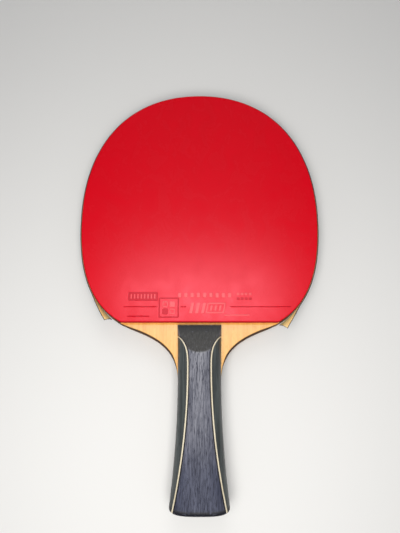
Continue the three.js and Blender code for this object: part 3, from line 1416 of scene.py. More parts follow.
def pimple_tool(material: Material) -> NodeTool:
    """The tree that sets rows of pimples under the edge of a rubber skin.

    Its host is the flat sheet that the pimples stand on. They are set out in staggered rows
    over the sheet and kept where they stand wholly on it, near its edge.

    Args:
        material: The pimples' finish.

    Returns:
        The tool.
    """
    sizes = {
        "Pitch": PIMPLE_PITCH,
        "Lower Radius": 0.85 * MM,
        "Upper Radius": 0.78 * MM,
        "Height": 1 * MM,
        "Border": 9 * MM,
        "Span": 170 * MM,
        "Centre Y": 80 * MM,
        "Level": 0.0,
    }
    tool = NodeTool("pimple_rows", {name: ("NodeSocketFloat", size) for name, size in sizes.items()})
    given = tool.start.outputs
    pitch = given["Pitch"]
    row_pitch = tool.maths("MULTIPLY", pitch, math.sqrt(3) / 2)
    columns = tool.maths("ROUND", tool.maths("DIVIDE", given["Span"], pitch))
    rows = tool.maths("ROUND", tool.maths("DIVIDE", given["Span"], row_pitch))
    grid = tool.node("GeometryNodeMeshGrid")
    for axis, count, step in (("X", columns, pitch), ("Y", rows, row_pitch)):
        tool.link(count, grid.inputs["Vertices " + axis])
        span = tool.maths("MULTIPLY", tool.maths("SUBTRACT", count, 1.0), step)
        tool.link(span, grid.inputs["Size " + axis])
    index = tool.node("GeometryNodeInputIndex").outputs[0]
    odd_row = tool.maths("MODULO", tool.maths("MODULO", index, rows), 2.0)
    shift = tool.maths("MULTIPLY", odd_row, tool.maths("MULTIPLY", pitch, 0.5))
    staggered = tool.node("GeometryNodeSetPosition")
    tool.link(grid.outputs["Mesh"], staggered.inputs["Geometry"])
    tool.link(tool.vector(shift, given["Centre Y"], given["Level"]), staggered.inputs["Offset"])

    # The distance to the bed's edge, and whether a ray straight down finds the bed at all.
    near = tool.node("GeometryNodeProximity", target_element="EDGES")
    rim = tool.node("GeometryNodeDeleteGeometry", domain="FACE", mode="ONLY_FACE")
    tool.link(given["Geometry"], rim.inputs["Geometry"])
    tool.link(rim.outputs[0], near.inputs[0])
    ray = tool.node("GeometryNodeRaycast")
    tool.link(given["Geometry"], ray.inputs["Target Geometry"])
    above = tool.node("ShaderNodeVectorMath", operation="ADD")
    tool.link(tool.node("GeometryNodeInputPosition").outputs[0], above.inputs[0])
    above.inputs[1].default_value = (0, 0, RAY_HEIGHT)
    tool.link(above.outputs[0], ray.inputs["Source Position"])
    ray.inputs["Ray Direction"].default_value = (0, 0, -1)
    ray.inputs["Ray Length"].default_value = 2 * RAY_HEIGHT
    off = tool.maths("LESS_THAN", near.outputs["Distance"], given["Lower Radius"])
    deep = tool.maths("GREATER_THAN", near.outputs["Distance"], given["Border"])
    missed = tool.maths("SUBTRACT", 1.0, ray.outputs["Is Hit"])
    kept = tool.node("GeometryNodeDeleteGeometry", domain="POINT")
    tool.link(staggered.outputs[0], kept.inputs["Geometry"])
    tool.link(tool.maths("MAXIMUM", tool.maths("MAXIMUM", off, deep), missed), kept.inputs["Selection"])

    pimple = tool.node("GeometryNodeMeshCone")
    pimple.inputs["Vertices"].default_value = 10
    tool.link(given["Upper Radius"], pimple.inputs["Radius Top"])
    tool.link(given["Lower Radius"], pimple.inputs["Radius Bottom"])
    tool.link(given["Height"], pimple.inputs["Depth"])
    tool.repeat(pimple.outputs["Mesh"], kept.outputs[0], material)
    return tool


def tick_tool(material: Material) -> NodeTool:
    """The tree that sets a row of equal raised ticks.

    The host's own mesh is one tick, and it is repeated along x.

    Args:
        material: The ticks' finish.

    Returns:
        The tool.
    """
    tool = NodeTool("tick_row", {"Count": ("NodeSocketInt", 5), "Pitch": ("NodeSocketFloat", 3 * MM)})
    given = tool.start.outputs
    line = tool.node("GeometryNodeMeshLine")
    tool.link(given["Count"], line.inputs["Count"])
    tool.link(tool.vector(given["Pitch"], 0.0, 0.0), line.inputs["Offset"])
    tool.repeat(given["Geometry"], line.outputs[0], material)
    return tool


# ---------------------------------------------------------------- rubbers


@dataclass(frozen=True)
class Mark:
    """A raised bar or frame of the marking band, or a row of them.

    Attributes:
        centre: Its middle, or that of the row's first tick.
        size: Width and height.
        wall: Width of a frame's wall, or None for a solid bar.
        count: Number in the row.
        pitch: Distance from one to the next.
        slant: How far its top leans to the right.
        rise: Its height, as a share of the band's relief.
        pale: Whether it has the paler finish, whose colour paints the highlight on its relief.
    """

    centre: tuple[float, float]
    size: tuple[float, float]
    wall: float | None = None
    count: int = 1
    pitch: float = 0.0
    slant: float = 0.0
    rise: float = 1.0
    pale: bool = True


@dataclass(frozen=True)
class RubberFinish:
    """How a rubber is finished.

    Attributes:
        slot: The record's slot for the topsheet; not used.
        skin: The topsheet's skin.
        moulded: Its moulded parts.
        cut: Its trimmed edge, coloured darker than the skin as painted shade.
        raised: The paler raised marks, whose colour paints the highlight on the relief.
    """

    slot: str
    skin: SheetRubber
    moulded: MouldedRubber
    cut: MouldedRubber
    raised: MouldedRubber


RED_TINT = (1.0, 0.4, 0.5)
RUBBER_FINISHES = {
    Face.FRONT: RubberFinish(
        "red_rubber",
        skin=SheetRubber("red_skin", linear(207, 0, 22), linear(204, 0, 20), 0.26, 0.2, RED_TINT),
        moulded=MouldedRubber("red_moulded", linear(192, 6, 26), 0.34, RED_TINT),
        # The cut edge is coloured darker than the skin: painted shade.
        cut=MouldedRubber("red_cut_painted_shade", linear(130, 0, 15)),
        # The raised marks' paler colour is painted highlight on the relief.
        raised=MouldedRubber("red_painted_highlight", linear(232, 58, 70), 0.34),
    ),
    Face.BACK: RubberFinish(
        "black_rubber",
        skin=SheetRubber("black_skin", linear(30, 30, 32), linear(26, 26, 28), 0.32, 0.4, WHITE),
        moulded=MouldedRubber("black_moulded", linear(24, 24, 25)),
        # The cut edge is coloured darker than the skin: painted shade.
        cut=MouldedRubber("black_cut_painted_shade", linear(17, 17, 18)),
        # The raised marks' paler colour is painted highlight on the relief.
        raised=MouldedRubber("black_painted_highlight", linear(40, 40, 42), 0.4),
    ),
}


@dataclass
class Rubber:
    """A sponge and its topsheet on one face.

    Attributes:
        face: The face that they are on.
        plan: The blade's outline.
        place: Where they go.
        finish: Finish of the topsheet.
        sponge: Finish of the sponge.
        skin_share: Share of the topsheet's thickness that is skin, over the pimples.
        pimple_root: Radius of a pimple where it stands on the skin.
        pimple_tip: Its radius at the sponge.
        relief: Height of the raised marks.
        mark_slope: Width of a mark's sloping sides.
        sink: How far the marks reach into the skin.
        marks: The marks of the band near the straight edge.
    """

    face: Face
    plan: BladePlan
    place: Place
    finish: RubberFinish
    sponge: Sponge = Sponge("sponge_foam", linear(184, 26, 32))
    skin_share: float = 0.47
    pimple_root: float = 0.86 * MM
    pimple_tip: float = 0.78 * MM
    relief: float = 0.2 * MM
    mark_slope: float = 0.12 * MM
    sink: float = 0.05 * MM
    marks: tuple[Mark, ...] = (
        Mark((-33.6 * MM, 17.0 * MM), (17.6 * MM, 5.4 * MM), pale=False),
        Mark((-40.6 * MM, 17.0 * MM), (1.0 * MM, 3.0 * MM), count=8, pitch=2.0 * MM, rise=2.0),
        Mark((-18.2 * MM, 10.2 * MM), (12 * MM, 12.2 * MM), wall=0.8 * MM, pale=False),
        Mark((-20.3 * MM, 12.2 * MM), (3.4 * MM, 3.6 * MM), wall=0.8 * MM),
        Mark((-16.1 * MM, 12.2 * MM), (3.4 * MM, 3.6 * MM)),
        Mark((-20.3 * MM, 7.9 * MM), (3.4 * MM, 3.6 * MM), pale=False),
        Mark((-16.1 * MM, 7.9 * MM), (3.4 * MM, 3.6 * MM), wall=0.8 * MM),
        Mark((-11.8 * MM, 17.7 * MM), (2.1 * MM, 3.0 * MM), count=9, pitch=3.72 * MM),
        Mark((-4.6 * MM, 9.9 * MM), (2.0 * MM, 6.6 * MM), count=3, pitch=3.5 * MM, slant=1.3 * MM),
        Mark((9.6 * MM, 9.9 * MM), (11.0 * MM, 6.6 * MM), wall=1.0 * MM, slant=1.3 * MM),
        Mark((7.0 * MM, 9.9 * MM), (1.4 * MM, 3.4 * MM), count=3, pitch=2.6 * MM, slant=0.7 * MM),
        Mark((23.0 * MM, 18.5 * MM), (1.7 * MM, 1.5 * MM), count=4, pitch=2.4 * MM),
        Mark((23.0 * MM, 15.6 * MM), (1.7 * MM, 1.5 * MM), count=4, pitch=2.4 * MM, pale=False),
        Mark((-35.0 * MM, 10.7 * MM), (20 * MM, 0.6 * MM), rise=0.45, pale=False),
        Mark((-9.6 * MM, 10.7 * MM), (3.6 * MM, 0.6 * MM), rise=0.45, pale=False),
        Mark((36.0 * MM, 10.7 * MM), (36 * MM, 0.6 * MM), rise=0.45, pale=False),
        Mark((22.0 * MM, 5.6 * MM), (15 * MM, 0.9 * MM)),
        Mark((-36.0 * MM, 5.0 * MM), (13 * MM, 0.7 * MM), rise=0.45, pale=False),
    )

    def build(self) -> list[bpy.types.Object]:
        """Makes the sponge and the topsheet.

        Returns:
            The two pieces.
        """
        outline = self.plan.rubber()
        node = f"{self.face.value}_sponge"
        low, high = face_heights(node, self.place)
        shape = SheetShape(
            outline,
            low,
            high,
            ease=0.05 * MM,
            recess=0.1 * MM,
            unevenness=0.22 * MM,
            seed=self.face.turn * 7,
            rows=7,
        )
        points, faces = shape.rings()
        placed = self.place.put(points, self.face)
        foam = build_piece(node + "_foam", placed, faces, [self.sponge.make()], sharp=60)
        return [attach(foam, node), self.topsheet(outline)]

    def topsheet(self, outline: np.ndarray) -> bpy.types.Object:
        """Makes the topsheet: skin, pimples and marking band.

        Args:
            outline: The rubber's outline.

        Returns:
            The piece.
        """
        node = f"{self.face.value}_topsheet"
        low, high = face_heights(node, self.place)
        root = high - (high - low) * self.skin_share
        matt = self.finish.moulded.make()
        shape = SheetShape(
            outline, root, high, ease=0.2 * MM, unevenness=0.05 * MM, seed=self.face.turn * 3
        )
        points, faces = shape.rings()
        size = len(outline)
        slots = [0] * size + [1] * (len(faces) - 2 - 2 * size) + [0] * (size + 2)
        placed = self.place.put(points, self.face)
        # The cut edge takes the darker finish: painted shade on the rubber's side.
        materials = [self.finish.skin.make(), self.finish.cut.make()]
        sheet = build_piece(node + "_rubber", placed, faces, materials, slots)
        join(sheet, [self.pimples(outline, low, root, matt), *self.band(high, matt)])
        return attach(sheet, node)

    def pimples(self, outline: np.ndarray, low: float, root: float, matt: Material) -> bpy.types.Mesh:
        """Makes the rows of pimples between the sponge and the skin.

        Args:
            outline: The rubber's outline.
            low: Height of the sponge.
            root: Height of the skin's underside.
            matt: Their finish.

        Returns:
            The pimples as a mesh.
        """
        level = (low + root) / 2
        flat = self.place.put([(x, y, level) for x, y in outline], self.face)
        host = build_piece("pimple_bed", flat, [tuple(range(len(flat)))], [matt])
        front = self.face is Face.FRONT  # its pimples taper downwards, and the back's upwards
        radii = (self.pimple_tip, self.pimple_root) if front else (self.pimple_root, self.pimple_tip)
        values = {
            "Pitch": PIMPLE_PITCH,
            "Lower Radius": radii[0],
            "Upper Radius": radii[1],
            "Height": root - low,
            "Centre Y": self.place.handle_top + (self.plan.tip + self.plan.gap) / 2,
            "Level": flat[0][2] - (root - low) / 2,
        }
        mesh = pimple_tool(matt).run(host, values)
        bpy.data.objects.remove(host)
        return mesh

    def band(self, height: float, matt: Material) -> list[bpy.types.Mesh]:
        """Makes the raised marks near the straight edge.

        Args:
            height: Height of the skin's outer face.
            matt: Finish of the plain marks.

        Returns:
            One mesh for each mark or row.
        """
        # The pale marks take the painted highlight finish.
        tools = {False: tick_tool(matt), True: tick_tool(self.finish.raised.make())}
        meshes = []
        for mark in self.marks:
            points, faces = self.mark_shape(mark, height)
            host = build_piece("mark", self.place.put(points, self.face), faces, [matt])
            pitch = mark.pitch * self.face.turn
            meshes.append(tools[mark.pale].run(host, {"Count": mark.count, "Pitch": pitch}))
            bpy.data.objects.remove(host)
        return meshes

    def mark_shape(self, mark: Mark, height: float) -> tuple[Ring, Faces]:
        """One raised bar or frame, with sloping sides.

        Args:
            mark: What to make.
            height: Height that it stands on.

        Returns:
            Points and faces.
        """
        half = np.array(mark.size) / 2
        radius = min(0.3 * min(mark.size), 0.8 * MM)
        corner = half - radius
        quarter = [(math.cos(a), math.sin(a)) for a in np.linspace(0, math.pi / 2, 5)]
        outline = []
        for turn, (sx, sy) in enumerate(((1, 1), (-1, 1), (-1, -1), (1, -1))):
            for c, s in quarter:
                dx, dy = ((c, s), (-s, c), (-c, -s), (s, -c))[turn]
                outline.append((sx * corner[0] + radius * dx, sy * corner[1] + radius * dy))
        loop = np.array(outline)
        out = mitred(loop)
        foot, top = height - self.sink, height + self.relief * mark.rise
        steps = [(0.0, foot), (0.0, height), (self.mark_slope, top)]
        if mark.wall is not None:
            steps += [(mark.wall - self.mark_slope, top), (mark.wall, height), (mark.wall, foot)]
        points: Ring = []
        for inset, z in steps:
            for (x, y), (nx, ny) in zip(loop, out):
                px, py = x - nx * inset, y - ny * inset
                lean = mark.slant * py / mark.size[1]
                points.append((mark.centre[0] + px + lean, mark.centre[1] + py, z))
        size = len(loop)
        faces = ring_faces(len(steps), size)
        last = (len(steps) - 1) * size
        if mark.wall is None:
            faces += [tuple(range(last, last + size)), tuple(range(size))[::-1]]
        else:
            faces += [(last + p, last + (p + 1) % size, (p + 1) % size, p) for p in range(size)]
        return points, faces


# ---------------------------------------------------------------- edge tape


@dataclass(frozen=True)
class LooseEnd:
    """An end of the tape that has come unstuck.

    Attributes:
        peel: Height from which it is loose.
        length: Length that is loose.
        gap: Distance from the blade to its lower edge at the very end.
        lean: Lean at the end, in radians, lower edge towards the blade.
        curl: How far the upper edge curls out at the end.
    """

    peel: float
    length: float
    gap: float
    lean: float
    curl: float


@dataclass
class EdgeTape:
    """The tape round the head's edge, black outside with a tan adhesive face.

    Attributes:
        plan: The blade's outline.
        place: Where it goes.
        half: Half its width.
        thick: Its thickness.
        clearance: Distance from the blade's edge.
        left: Its left-hand end.
        right: Its right-hand end.
        swing_power: How late a loose end leaves the blade along its length.
        curl_power: How near the upper edge its curl is kept.
        drift: How far the edges wander up and down.
        fray: How far they are frayed.
        wave: How far a loose end is wavy.
        backing: Finish of its outer face.
        adhesive: Finish of its inner face.
    """

    plan: BladePlan
    place: Place
    half: float = 6 * MM
    thick: float = 0.48 * MM
    clearance: float = 0.06 * MM
    left: LooseEnd = LooseEnd(20 * MM, 18 * MM, 0.2 * MM, math.radians(5), 2.4 * MM)
    right: LooseEnd = LooseEnd(13.5 * MM, 16.2 * MM, 0.2 * MM, math.radians(9), 3 * MM)
    swing_power: float = 1.6
    curl_power: float = 2.6
    drift: float = 0.14 * MM
    fray: float = 0.05 * MM
    wave: float = 0.25 * MM
    backing: TapeBacking = TapeBacking("tape_backing", linear(26, 26, 29))
    adhesive: TapeAdhesive = TapeAdhesive(
        "tape_adhesive",
        # colour and stain are paler than the adhesive's own tan: painted light on the flaps' inner faces.
        colour=linear(255, 230, 160),
        stain=linear(255, 196, 112),
        speck=linear(130, 84, 44),
        # Painted shade of the gap beside the blade.
        painted_gap_shade=linear(24, 20, 18),
    )

    FIRST_INNER = 12  # the first point of a section that belongs to the adhesive face

    def half_rings(self, end: LooseEnd, side: Side) -> list[Ring]:
        """Sections of the tape from the tip of the head to one end.

        Args:
            end: How that end hangs.
            side: The side that it is on.

        Returns:
            One ring of points for each section.
        """
        head = self.plan.head()
        whole = closed_outline(head)
        out = mitred(whole)[::-1][: len(head)]
        out[0] = (0.0, 1.0)
        run = np.concatenate([[0.0], np.cumsum(np.linalg.norm(np.diff(head, axis=0), axis=1))])
        first = int(np.argmax(head[:, 1] < end.peel))
        step = slice(first - 1, first + 1)
        peel_run = float(np.interp(-end.peel, -head[step, 1], run[step]))
        end_run = peel_run + end.length
        stations = [r for r in run if r < end_run] + [end_run]
        rings = []
        for station in stations:
            at = np.array([np.interp(station, run, head[:, k]) for k in (0, 1)])
            normal = np.array([np.interp(station, run, out[:, k]) for k in (0, 1)])
            normal /= np.linalg.norm(normal)
            share = max(0.0, (station - peel_run) / end.length) ** self.swing_power
            rings.append(self.section(at, normal, end, share, side))
        return rings

    def section(self, at: np.ndarray, normal: np.ndarray, end: LooseEnd, share: float, side: Side) -> Ring:
        """The tape's section at one place.

        Args:
            at: Place on the blade's edge, on the right-hand side.
            normal: Outward direction there.
            end: How the end on this side hangs.
            share: How much of that has built up here, from 0 to 1.
            side: The side that it is for.

        Returns:
            The section's points, from the inner lower edge round outwards.
        """
        lean = end.lean * share
        swing = (end.gap + self.half * math.sin(end.lean)) * share
        corner = 0.3 * self.thick
        depth, half = self.thick, self.half
        shape = [
            (0.0, -half + corner),
            (corner, -half),
            (depth - corner, -half),
            (depth, -half + corner),
            *((depth, half * t) for t in (-0.7, -0.35, 0.0, 0.35, 0.7)),
            (depth, half - corner),
            (depth - corner, half),
            (corner, half),
            (0.0, half - corner),
            *((0.0, half * t) for t in (0.6, 0.2, -0.2, -0.6)),
        ]
        spot = Vector((at[0], at[1], side.sign)) / (7 * MM)
        drift = self.drift * noise.noise(spot)
        wave = share * self.wave * noise.noise(spot * 2.2 + Vector((5, 0, 0)))
        ring: Ring = []
        for deep, height in shape:
            frayed = self.fray * noise.noise(Vector((at[0], at[1], height)) / (0.8 * MM))
            tall = height + (drift + frayed if abs(height) > 0.8 * half else 0.0)
            curl = share * end.curl * (0.5 + 0.5 * height / half) ** self.curl_power
            out = deep * math.cos(lean) + tall * math.sin(lean) + self.clearance + swing + wave + curl
            x, y = at + normal * out
            ring.append((x * side.sign, y, tall * math.cos(lean) - deep * math.sin(lean)))
        return ring

    def build(self) -> bpy.types.Object:
        """Makes the tape.

        Returns:
            The piece.
        """
        left = self.half_rings(self.left, Side.LEFT)[::-1]
        right = self.half_rings(self.right, Side.RIGHT)[1:]
        rings = left + right
        size = len(rings[0])
        points = [p for ring in rings for p in ring]
        faces = ring_faces(len(rings), size)
        slots = [int(number % size >= self.FIRST_INNER) for number in range(len(faces))]
        last = (len(rings) - 1) * size
        faces += [tuple(range(size)), tuple(range(last, last + size))[::-1]]
        slots += [0, 0]
        materials = [self.backing.make(), self.adhesive.make(self.place.middle)]
        piece = build_piece("edge_tape_strip", self.place.put(points), faces, materials, slots)
        return attach(piece, "edge_tape")


# ---------------------------------------------------------------- handle


@dataclass
class HandleScale:
    """One laminated scale of the handle.

    Attributes:
        face: The face that it is on.
        profile: The handle's profile.
        place: Where it goes.
        tang: Height of the blade's face over its middle.
        bevel: Length of the bevel at the upper end.
        step: Height of the upper end over the blade.
        waist_inset: From the handle's side to the middle of the pale inlay at its waist.
        waist_y: Where the inlays are closest together.
        butt_inset: From the side to the inlay at the butt.
        run_out: Where the inlay leaves through the handle's side.
        inlay: Thickness of the pale inlay.
        line: Thickness of the dark line inside it.
        glue: Width of a glue line.
        butt_round: Radius of the butt's outer edge.
        top_round: Radius of the upper end's edge.
        arris: Width of the soft edge where the bevel starts.
        top_dark: Length over which the bevel darkens to the upper edge.
        butt_painted_shade: Length over which the grain darkens to the butt: end grain of its rounded edge,
            spread wider as painted shade of that rounding.
        near_steps: Distances of the first sections from the upper end, in millimetres.
        bevel_steps: First, last and step of the sections over the bevel.
        shaft_step: Step of the sections below it.
        butt_steps: Distances of the last sections from the butt.
    """

    face: Face
    profile: HandleProfile
    place: Place
    tang: float
    bevel: float = 16.5 * MM
    step: float = 3 * MM
    waist_inset: float = 5.8 * MM
    waist_y: float = -28 * MM
    butt_inset: float = 2 * MM
    run_out: float = -6.6 * MM
    inlay: float = 0.72 * MM
    line: float = 0.6 * MM
    glue: float = 0.05 * MM
    butt_round: float = 1.3 * MM
    top_round: float = 0.35 * MM
    arris: float = 0.22 * MM
    top_dark: float = 6 * MM
    butt_painted_shade: float = 2.7 * MM
    near_steps: tuple[float, ...] = (0.0, 0.08, 0.2, 0.35)
    bevel_steps: tuple[float, float, float] = (0.7, 18.0, 0.35)
    shaft_step: float = 1.3
    butt_steps: tuple[float, ...] = (2.6, 2.0, 1.5, 1.2, 0.9, 0.6, 0.4, 0.22, 0.1, 0.03, 0.0)

    HALVINGS = 46  # steps in the search for an angle
    LEAST_WIDTH = 1e-4  # a section that spans less than this angle is left out

    def across(self, angle: float) -> float:
        """Share of the half width at an angle round the section, 0 at the right-hand side."""
        share = abs(math.cos(angle)) ** (2 / self.profile.round_section)
        return math.copysign(share, math.cos(angle))

    def inlay_x(self, y: float) -> float:
        """Distance from the centreline to the middle of the pale inlay.

        Args:
            y: Height along the handle.

        Returns:
            The distance.
        """
        waist = self.profile.half_width(self.waist_y) - self.waist_inset
        if y < self.waist_y:
            drop = (self.waist_y - y) / (self.waist_y + self.profile.length)
            return waist + (self.profile.butt - self.butt_inset - waist) * drop**2
        rise = (y - self.waist_y) / (self.run_out - self.waist_y)
        return waist + (self.profile.half_width(self.run_out) - waist) * rise**4

    def along(self, angle: float, share: float) -> tuple[float, float]:
        """Distance from the centreline and height of a place on the scale's surface.

        Args:
            angle: Angle round the section, 0 at the right-hand side.
            share: Share of the way from the upper end to the butt.

        Returns:
            x and y.
        """
        across = self.across(angle)
        y = self.profile.end_y(across) * share
        return self.profile.half_width(y) * across, y

    def surface(self, angle: float, share: float) -> tuple[float, float, float, float, float]:
        """A place on the carved surface.

        Args:
            angle: Angle round the section, 0 at the right-hand side.
            share: Share of the way from the upper end to the butt.

        Returns:
            x, y and z, how far the grain is cut across there, and how near that cut's outer edge it is;
            near the butt both also paint the shade of its rounding.
        """
        x, y = self.along(angle, share)
        up = abs(math.sin(angle)) ** (2 / self.profile.round_section)
        z = self.tang + (self.profile.crown_height(y) - self.tang) * up
        slope = (self.profile.crown - self.tang - self.step) / self.bevel
        plane = self.tang + self.step - slope * y
        cut = max(0.0, min(1.0, 0.5 + (z - plane) / (2 * self.arris)))
        z = z * (1 - cut) + plane * cut - self.arris * cut * (1 - cut)
        to_butt = y - self.profile.end_y(self.across(angle))
        for distance, radius in ((to_butt, self.butt_round * up), (-y, self.top_round * up)):
            if distance < radius:
                z -= radius - math.sqrt(max(0.0, radius**2 - (radius - distance) ** 2))
        # The last few millimetres to the butt take the end grain colours: end grain of the rounded edge,
        # and painted shade of that rounding.
        rim = max(0.0, 1 - to_butt / self.butt_painted_shade)
        top_edge = 0.85 * max(0.0, 1 + y / self.top_dark) ** 1.3
        edge = max(top_edge, min(1.0, 1.7 * rim))
        return x, y, max(z, self.tang), max(cut, min(1.0, 3 * rim)), edge

    def edge_angle(self, offset: float, share: float) -> float:
        """The angle at which a surface that follows the inlay meets the carved surface.

        Args:
            offset: Distance from the middle of the inlay, outwards.
            share: Share of the way from the upper end to the butt.

        Returns:
            The angle, 0 where the surface has left through the handle's side.
        """

        def outside(angle: float) -> float:
            """How far the surface at an angle lies outside the one that follows the inlay."""
            x, y = self.along(angle, share)
            return x - self.inlay_x(y) - offset

        low, high = 0.0, math.pi / 2
        if outside(low) <= 0:
            return 0.0
        for _ in range(self.HALVINGS):
            middle = (low + high) / 2
            if outside(middle) > 0:
                low = middle
            else:
                high = middle
        return (low + high) / 2

    def stations(self) -> list[float]:
        """Shares of the length at which sections are taken, close together at the bevel and the butt.

        Returns:
            The shares from 0 to 1.
        """
        length = self.profile.length / MM
        first, last, step = self.bevel_steps
        bevel = np.arange(first, last, step)
        shaft = np.arange(last, length - 3.0, self.shaft_step)
        butt = [length - distance for distance in self.butt_steps]
        return [distance / length for distance in (*self.near_steps, *bevel, *shaft, *butt)]

    def lamination(
        self, first: float | None, second: float | None, columns: int
    ) -> tuple[Ring, Faces, list[tuple[float, float]]]:
        """A piece between two surfaces that follow the inlay on the right-hand side.

        Args:
            first: Inner surface, as a distance from the inlay, or None for the mirrored second.
            second: Outer surface, or None for the handle's side.
            columns: Steps across the piece.

        Returns:
            Points, faces, and the two end grain values of each point.
        """
        rings: list[Ring] = []
        cuts: list[tuple[float, float]] = []
        for share in self.stations():
            outer = 0.0 if second is None else self.edge_angle(second, share)
            inner = math.pi - outer if first is None else self.edge_angle(first, share)
            if inner - outer < self.LEAST_WIDTH:
                continue
            top = [self.surface(inner + (outer - inner) * c / columns, share) for c in range(columns + 1)]
            under = [(x, y, self.tang) for x, y, *_ in reversed(top)]
            rings.append([spot[:3] for spot in top] + under)
            cuts += [spot[3:] for spot in top] + [spot[3:] for spot in reversed(top)]
        size = 2 * (columns + 1)
        faces = ring_faces(len(rings), size)
        last = (len(rings) - 1) * size
        for start in (0, last):
            end = start + size - 1
            faces += [(start + c, start + c + 1, end - 1 - c, end - c) for c in range(columns)]
        return [p for ring in rings for p in ring], faces, cuts

    def build(self, woods: dict[GripPart, Material]) -> list[bpy.types.Object]:
        """Makes the scale's seven pieces.

        Args:
            woods: Material of each kind of lamination.

        Returns:
            The pieces.
        """
        half = self.inlay / 2
        line_outer = -half - self.glue
        line_inner = line_outer - self.line
        parts = [
            (GripPart.LINE, line_inner, line_outer, 3),
            (GripPart.INLAY, -half, half, 4),
            (GripPart.SIDE, half + self.glue, None, 16),
        ]
        centre = self.lamination(None, line_inner - self.glue, 56)
        pieces = [self.piece(GripPart.CENTRE, None, centre, woods)]
        for part, first, second, columns in parts:
            shape = self.lamination(first, second, columns)
            pieces += [self.piece(part, side, shape, woods) for side in Side]
        return pieces

    def piece(
        self,
        part: GripPart,
        side: Side | None,
        shape: tuple[Ring, Faces, list[tuple[float, float]]],
        woods: dict[GripPart, Material],
    ) -> bpy.types.Object:
        """Makes one lamination.

        Args:
            part: Its kind.
            side: The side that it is on, or None for the centre.
            shape: Points, faces and end grain values, drawn on the right.
            woods: Material of each kind.

        Returns:
            The piece.
        """
        points, faces, cuts = shape
        mirror = side.sign * self.face.turn if side else 1.0
        node = f"{self.face.value}_{part.value}" + (f"_{side.value}" if side else "")
        placed = self.place.put([(mirror * x, y, z) for x, y, z in points], self.face)
        piece = build_piece(node + "_wood", placed, faces, [woods[part]])
        mark_end_cut(piece, placed, cuts)
        return attach(piece, node)


def mark_end_cut(
    piece: bpy.types.Object, points: Sequence[Sequence[float]], cuts: Sequence[tuple[float, float]]
) -> None:
    """Stores on each point of a piece how far its grain is cut across there.

    Args:
        piece: The piece.
        points: The points before doubles were merged.
        cuts: For each, how far it is on a cut, and how near the cut's outer edge.
    """

    def spot(point: Sequence[float]) -> tuple[int, ...]:
        """A point's place as whole numbers, to find it again."""
        return tuple(round(v / MERGE_DISTANCE) for v in point)

    known = {spot(point): cut for point, cut in zip(points, cuts)}
    vertices = [spot(vertex.co) for vertex in piece.data.vertices]
    for number, mark in enumerate(GrainMark):
        layer = piece.data.attributes.new(mark.value, "FLOAT", "POINT")
        layer.data.foreach_set("value", [known.get(vertex, (0.0, 0.0))[number] for vertex in vertices])


# ---------------------------------------------------------------- studio


@dataclass(frozen=True)
class Lamp:
    """A soft rectangular lamp that points at the lower part of the head.

    Attributes:
        name: Its name.
        where: Its place: x and y from what it points at, and z in the row frame.
        size: Its width and depth.
        watts: Its power.
        colour: Its colour.
        mirrored: Whether glossy surfaces show it, and only they.
    """

    name: str
    where: Point
    size: tuple[float, float]
    watts: float
    colour: Colour = (1.0, 0.98, 0.95)
    mirrored: bool = False

    def hang(self, target: Vector) -> None:
        """Hangs the lamp.

        Args:
            target: What it points at.
        """
        data = bpy.data.lights.new(self.name, "AREA")
        data.shape = "RECTANGLE"
        data.size, data.size_y = self.size
        data.energy = self.watts
        data.color = self.colour
        light = bpy.data.objects.new(self.name, data)
        bpy.context.scene.collection.objects.link(light)
        light.location = (target.x + self.where[0], target.y + self.where[1], self.where[2])
        light.visible_glossy = self.mirrored
        light.visible_diffuse = not self.mirrored
        light.rotation_mode = "QUATERNION"
        light.rotation_quaternion = (target - light.location).to_track_quat("-Z", "Y")


